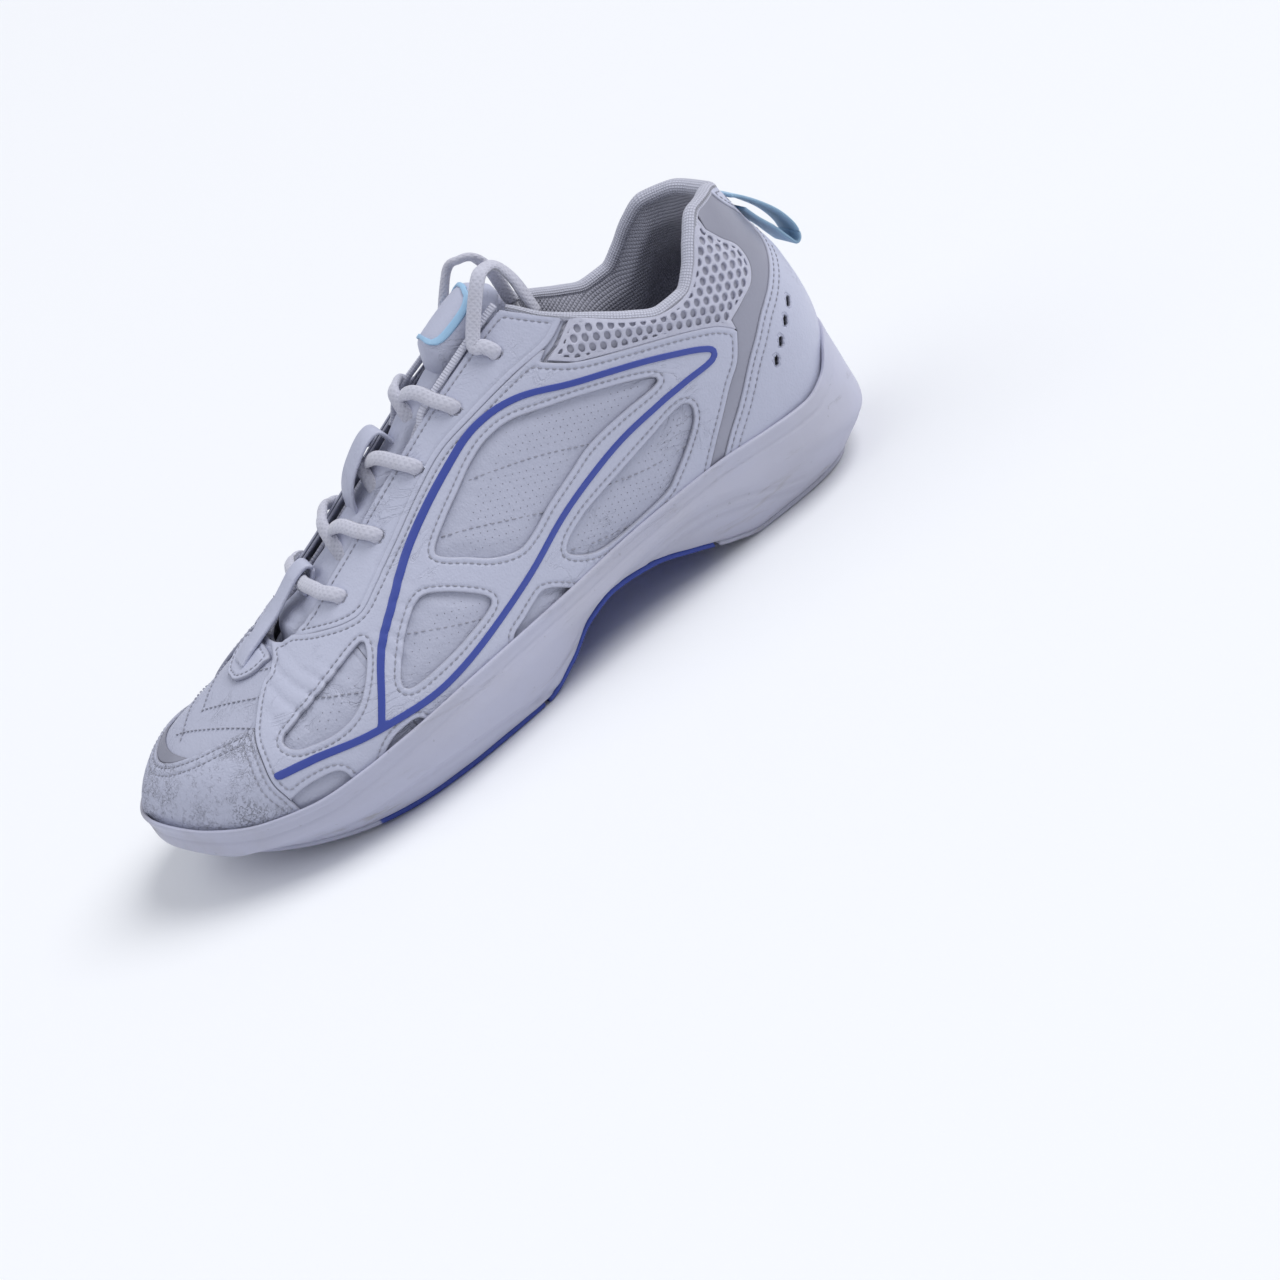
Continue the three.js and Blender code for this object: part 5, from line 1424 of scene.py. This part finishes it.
def leatherFinish(name, color, grain=1.0, crack=0.0, wrinkle=1.0, roughness=0.42):
    made = Finish(name, color, roughness, Specular_IOR_Level=0.45)
    edge = made.attribute("edge")
    pores = made.cells(1250 * (0.85 if crack else 1.0))
    fine = made.noise(420, 5)
    patches = made.noise(26, 4, 0.6)
    folds = made.noise(95, 5, 0.62, 0.9, made.place((0.55, 1.0, 1.25), (0, 0.5, 0.2)))
    foldLines = (folds - 0.5).size().ramp(0.0, 0.045, 1.0, 0.0) * patches.ramp(0.48, 0.64)
    tint = made.noise(11, 3)
    grimeAlong = edge.ramp(0.0, 0.55, 0.62, 0.0) * patches.ramp(0.30, 0.62, 0.45, 1.0)
    specks = made.noise(310, 3, 0.7).ramp(0.70, 0.78) * made.noise(22, 2).ramp(0.5, 0.68)
    # foldLines darken the leather in its crease hollows with a darker copy of its own colour: painted shade
    layers = [(tint.ramp(0.35, 0.7) * 0.35, tuple(c * 0.90 for c in color)), (grimeAlong, palette["grime"]),
              (specks * 0.28, palette["grime"]), (foldLines * 0.10 * wrinkle, tuple(c * 0.62 for c in color))]
    heights = [(patches, 0.0010 * wrinkle), (pores, 0.00007 * grain), (fine, 0.00010 * grain),
               (1 - foldLines, 0.00016 * wrinkle)]
    if crack:
        warped = made.noise(60, 3, 0.6, 1.5)
        shift = made.place((1, 1, 1))
        lines = made.cells(330, "DISTANCE_TO_EDGE", 1.0, made.node("ShaderNodeVectorMath", {"operation": "ADD"}, shift,
                           made.node("ShaderNodeVectorMath", {"operation": "SCALE"},
                                     made.node("ShaderNodeCombineXYZ", {}, warped, fine, warped), None, None, 0.02)))
        where = made.noise(34, 4, 0.62).ramp(0.36, 0.56)
        cracks = lines.ramp(0.0, 0.06, 1.0, 0.0) * where
        pits = made.noise(520, 4, 0.7).ramp(0.54, 0.68) * made.noise(40, 3).ramp(0.36, 0.56)
        layers += [(cracks * 0.30 * crack, (0.34, 0.33, 0.36)), (pits * 0.12 * crack, (0.40, 0.39, 0.43))]
        heights += [(1 - cracks, 0.00030 * crack), (1 - pits, 0.00022 * crack)]
    made.colored(*layers).raised(*heights)
    return made.rough(roughness + patches.ramp(0.3, 0.7, -0.05, 0.12) + foldLines * 0.08).material


def wovenFinish(name, color, pitch, depth, dark=0.55, roughness=0.9, sheen=0.25):
    made = Finish(name, color, roughness, Sheen_Weight=sheen)
    a, b, _ = made.axes(True)
    turn = 2 * math.pi / pitch
    over = (a * turn).sine() * (b * turn).sine()
    knit = over.size() ** 0.6
    fuzz = made.noise(900, 4)
    patches = made.noise(30, 4)
    # where the knit is low, between its bumps, the colour is darkened by the factor dark: painted shade in the weave's
    # hollows
    made.colored((knit.ramp(0.0, 0.5, 0.75, 0.0), tuple(k * dark for k in color)),
                 (patches.ramp(0.42, 0.7) * 0.35, tuple(k * 0.8 for k in color)))
    return made.raised((knit, depth), (fuzz, 0.00012)).rough(roughness - fuzz * 0.1).material


def rubberFinish(name, color):
    made = Finish(name, color, 0.5, Specular_IOR_Level=0.4)
    x, y, z = made.axes()
    patches, fine = made.noise(28, 5, 0.6), made.noise(700, 3)
    low = z.ramp(0.0, 0.02, 1.0, 0.0)
    scuffs = made.noise(60, 6, 0.7, 0.6, made.place((0.35, 0.8, 2.4))).ramp(0.56, 0.68)
    toe = x.ramp(-0.15, -0.10, 1.0, 0.15)
    marks = scuffs * (low * 0.7 + 0.15) + patches.ramp(0.42, 0.68) * 0.55 * toe
    yellowed = made.noise(14, 3).ramp(0.45, 0.7) * 0.28
    made.colored((yellowed, (0.50, 0.49, 0.53)), (marks.least(1.0), palette["stain"]),
                 (made.noise(420, 2, 0.6).ramp(0.70, 0.76) * 0.35, palette["grime"]))
    return made.raised((patches, 0.0007), (fine, 0.00006),
                       (1 - scuffs, 0.00014)).rough(0.46 + patches.ramp(0.3, 0.7, -0.05, 0.16)).material


def stripeFinish():
    made = Finish("stripeBlue", palette["blue"], 0.38, Coat_Weight=0.15)
    rubbed = made.noise(240, 5, 0.7, 0.4, made.place((0.5, 1, 1.6))).ramp(0.63, 0.74) * made.noise(20, 2).ramp(0.4,
                                                                                                               0.66)
    patches = made.noise(60, 3)
    made.colored((patches * 0.4, (0.052, 0.085, 0.38)), (rubbed * 0.55, (0.22, 0.25, 0.50)))
    return made.raised((made.noise(600, 4), 0.00008)).rough(0.36 + patches * 0.14).material


def silverFinish():
    made = Finish("silverCoating", palette["silver"], 0.4, Metallic=0.35)
    edge = made.attribute("edge")
    grain, patches = made.noise(900, 4), made.noise(40, 4)
    made.colored((patches.ramp(0.4, 0.7) * 0.4, tuple(c * 0.8 for c in palette["silver"])),
                 (edge.ramp(0.0, 0.5, 0.5, 0.0), palette["grime"]))
    return made.raised((grain, 0.00006), (patches, 0.0003)).rough(0.34 + patches * 0.18).material


def laceFinish():
    made = Finish("laceBraid", palette["lace"], 0.85, Sheen_Weight=0.3)
    a, b, _ = made.axes(True)
    one = (a * (2 * math.pi / 1.9) + b * (2 * math.pi * 7)).sine()
    two = (a * (2 * math.pi / 1.9) - b * (2 * math.pi * 7)).sine()
    plait = one.most(two)
    patches = made.noise(70, 4)
    # the hollows between the plaited strands get a darker copy of the lace colour: painted shade
    made.colored((plait.ramp(-0.2, 0.7, 0.14, 0.0), (0.42, 0.42, 0.50)),
                 (patches.ramp(0.45, 0.72) * 0.4, (0.47, 0.46, 0.51)))
    return made.raised((plait, 0.00007), (made.noise(1500, 3), 0.00006)).rough(0.82 + patches * 0.1).material


def padFinish():   # blue under the tread, white rubber in front of it
    made = Finish("slidePadFelt", (0.050, 0.080, 0.36), 0.75)
    x, y, z = made.axes()
    fuzz = made.noise(700, 4)
    made.colored((fuzz.ramp(0.4, 0.7) * 0.4, (0.035, 0.058, 0.27)),
                 (x.ramp(-0.0835, -0.0825, 1.0, 0.0), palette["sole"]))
    return made.raised((fuzz, 0.0002)).rough(0.7 + fuzz * 0.15).material


def plainFinish(name, color, roughness, spread=0.25, bump=0.0001, **settings):
    made = Finish(name, color, roughness, **settings)
    patches = made.noise(160, 5)
    made.colored((patches.ramp(0.35, 0.7) * spread * 2, tuple(c * 0.7 for c in color)))
    return made.raised((made.noise(800, 3), bump)).rough(roughness + (patches - 0.5) * 0.2).material


finishes = {
    "leather": leatherFinish("paleLeather", palette["leather"]),
    "underlay": leatherFinish("underlayLeather", tuple(c * 0.90 for c in palette["leather"]), grain=1.2,
                              wrinkle=1.5, roughness=0.46),
    "toe": leatherFinish("coatedToeLeather", tuple(c * 0.97 for c in palette["leather"]), grain=1.5, crack=1.0,
                         wrinkle=1.2, roughness=0.5),
    "silver": silverFinish(), "net": wovenFinish("collarNet", palette["net"], 0.8, 0.00012, dark=0.75),
    "foam": wovenFinish("collarFoamCloth", (0.46, 0.465, 0.55), 1.1, 0.00015, dark=0.7),
    "lining": wovenFinish("liningKnit", palette["lining"], 2.2, 0.00035),
    "roll": wovenFinish("collarRollKnit", (0.58, 0.59, 0.70), 1.9, 0.00028, dark=0.68),
    "stripe": stripeFinish(), "rubber": rubberFinish("soleRubber", palette["sole"]),
    "pad": padFinish(), "lace": laceFinish(),
    "sky": wovenFinish("skyTape", palette["sky"], 1.3, 0.00018, dark=0.7, roughness=0.7),
    "badge": plainFinish("skyBadge", palette["sky"], 0.42, 0.12, 0.00005),
            # thread colour: partly dirt, partly painted shade of the seam dents
            "thread": plainFinish("seamThread", palette["thread"], 0.8, 0.3, 0.0002),
    # painted shade: near-black colour for the inside of the heel vents
    "dark": plainFinish("holeShadow", (0.035, 0.035, 0.042), 0.9, 0.1, 0.00005),
    # painted shade: the dark colour of the perforation dots stands in for the shade inside the holes
    "pin": plainFinish("pinHoleShade", (0.22, 0.22, 0.27), 0.9, 0.1, 0.00005),
    "board": plainFinish("fibreBoard", (0.30, 0.24, 0.17), 0.85, 0.3, 0.0004),
            "steel": plainFinish("shankSteel", (0.35, 0.36, 0.38), 0.35, 0.2, 0.00005, Metallic=1.0),
    "tip": plainFinish("laceTip", (0.62, 0.62, 0.68), 0.25, 0.1, 0.00003),
            "floor": plainFinish("paleFloor", (0.90, 0.91, 0.93), 0.85, 0.0, 0.00001),
}
looks = {"vamp": "underlay", "quarter_outer": "underlay", "quarter_inner": "underlay", "toe_cap": "toe",
         "toe_accent": "silver",
         "silver_strip_outer": "silver", "silver_strip_inner": "silver", "side_stripe_outer": "stripe",
         "side_stripe_inner": "stripe",
         "collar_foam": "foam", "collar_mesh_outer": "net", "collar_mesh_inner": "net", "lining": "lining",
         "collar_binding": "roll",
         "midsole": "rubber", "heel_rubber": "rubber", "slide_sole": "pad", "arch_plate": "pad",
         "heel_vents": "dark", "lace": "lace",
         "lace_tips": "tip", "tongue_lining": "lining", "tongue_badge": "badge", "pull_tab": "sky",
         "insole_board": "board",
         "footbed": "lining", "throat_tape": "roll"}
print("finishes")

pieces["stitches"] = sewn("stitches", seamRuns["upper"], finishes["thread"])
pieces["tongue_stitches"] = sewn("tongue_stitches", seamRuns["tongue"], finishes["thread"])
pieces["perforations"] = perforate(finishes["pin"])
looks.update({"stitches": "thread", "tongue_stitches": "thread", "perforations": "pin"})


cushion = {"voxel": 0.0022, "cap": 0.0012, "pressure": 4.0, "frames": 20}


def inflated(piece):   # swells a padded piece like a filled cushion
    remesh = piece.modifiers.new("remesh", "REMESH")
    remesh.mode, remesh.voxel_size = "VOXEL", cushion["voxel"]
    name = piece.name
    piece.name = name + "Source"
    pad = asMesh(piece, name)
    rest = np.array([v.co for v in pad.data.vertices])
    cloth = pad.modifiers.new("cloth", "CLOTH")
    cloth.settings.use_pressure, cloth.settings.uniform_pressure_force = True, cushion["pressure"]
    cloth.settings.effector_weights.gravity, cloth.settings.quality = 0.0, 6
    for frameNumber in range(1, cushion["frames"] + 1):
        bpy.context.scene.frame_set(frameNumber)
    shape = pad.evaluated_get(bpy.context.evaluated_depsgraph_get()).data
    moved = np.array([v.co for v in shape.vertices]) - rest
    far = np.linalg.norm(moved, axis=1, keepdims=True)
    pad.modifiers.remove(cloth)
    bpy.context.scene.frame_set(1)
    place = rest + moved * np.minimum(1, cushion["cap"] / np.maximum(far, 1e-9))
    pad.data.vertices.foreach_set("co", place.ravel())
    pad.data.polygons.foreach_set("use_smooth", np.ones(len(pad.data.polygons), bool))
    pad.modifiers.new("finer", "SUBSURF").render_levels = 1
    pad.modifiers["finer"].levels = 1
    pad.name = name + "Coarse"
    pad = asMesh(pad, name)
    pad.data.attributes.new("edge", "FLOAT", "POINT").data.foreach_set("value",
            np.full(len(pad.data.vertices), 3.0, np.float32))
    print(name, "swollen, furthest", round(float(far.max() * 1000), 2), "mm")
    return pad


pieces["tongue_pad"] = inflated(pieces["tongue_pad"])

# every piece gets its finish, its body and the solids that it stands for
standsFor = {"quarter_overlay_outer": ["vamp_wing_outer"], "quarter_overlay_inner": ["vamp_wing_inner"],
             "lace_tips": ["lace_tip_outer", "lace_tip_inner"]}
extras = ("stitches", "tongue_stitches", "perforations", "heel_vents", "lace_tips", "throat_tape")
for name, piece in pieces.items():
    look = looks.get(name, "leather")
    piece.data.materials.clear()
    piece.data.materials.append(finishes[look])
    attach(piece, "pull_tab" if name == "pull_tab" else "tongue" if name.startswith("tongue") else "shoe")
    nodes = standsFor.get(name, []) + ([] if name in extras else [name])
    if nodes:
        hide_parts(*nodes)
for name, look in {"toe_puff": "board", "heel_counter": "board", "shank": "steel"}.items():
    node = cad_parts[name]
    node.data.materials.clear()
    node.data.materials.append(finishes[look])
floorMesh.materials.append(finishes["floor"])

print("finished")
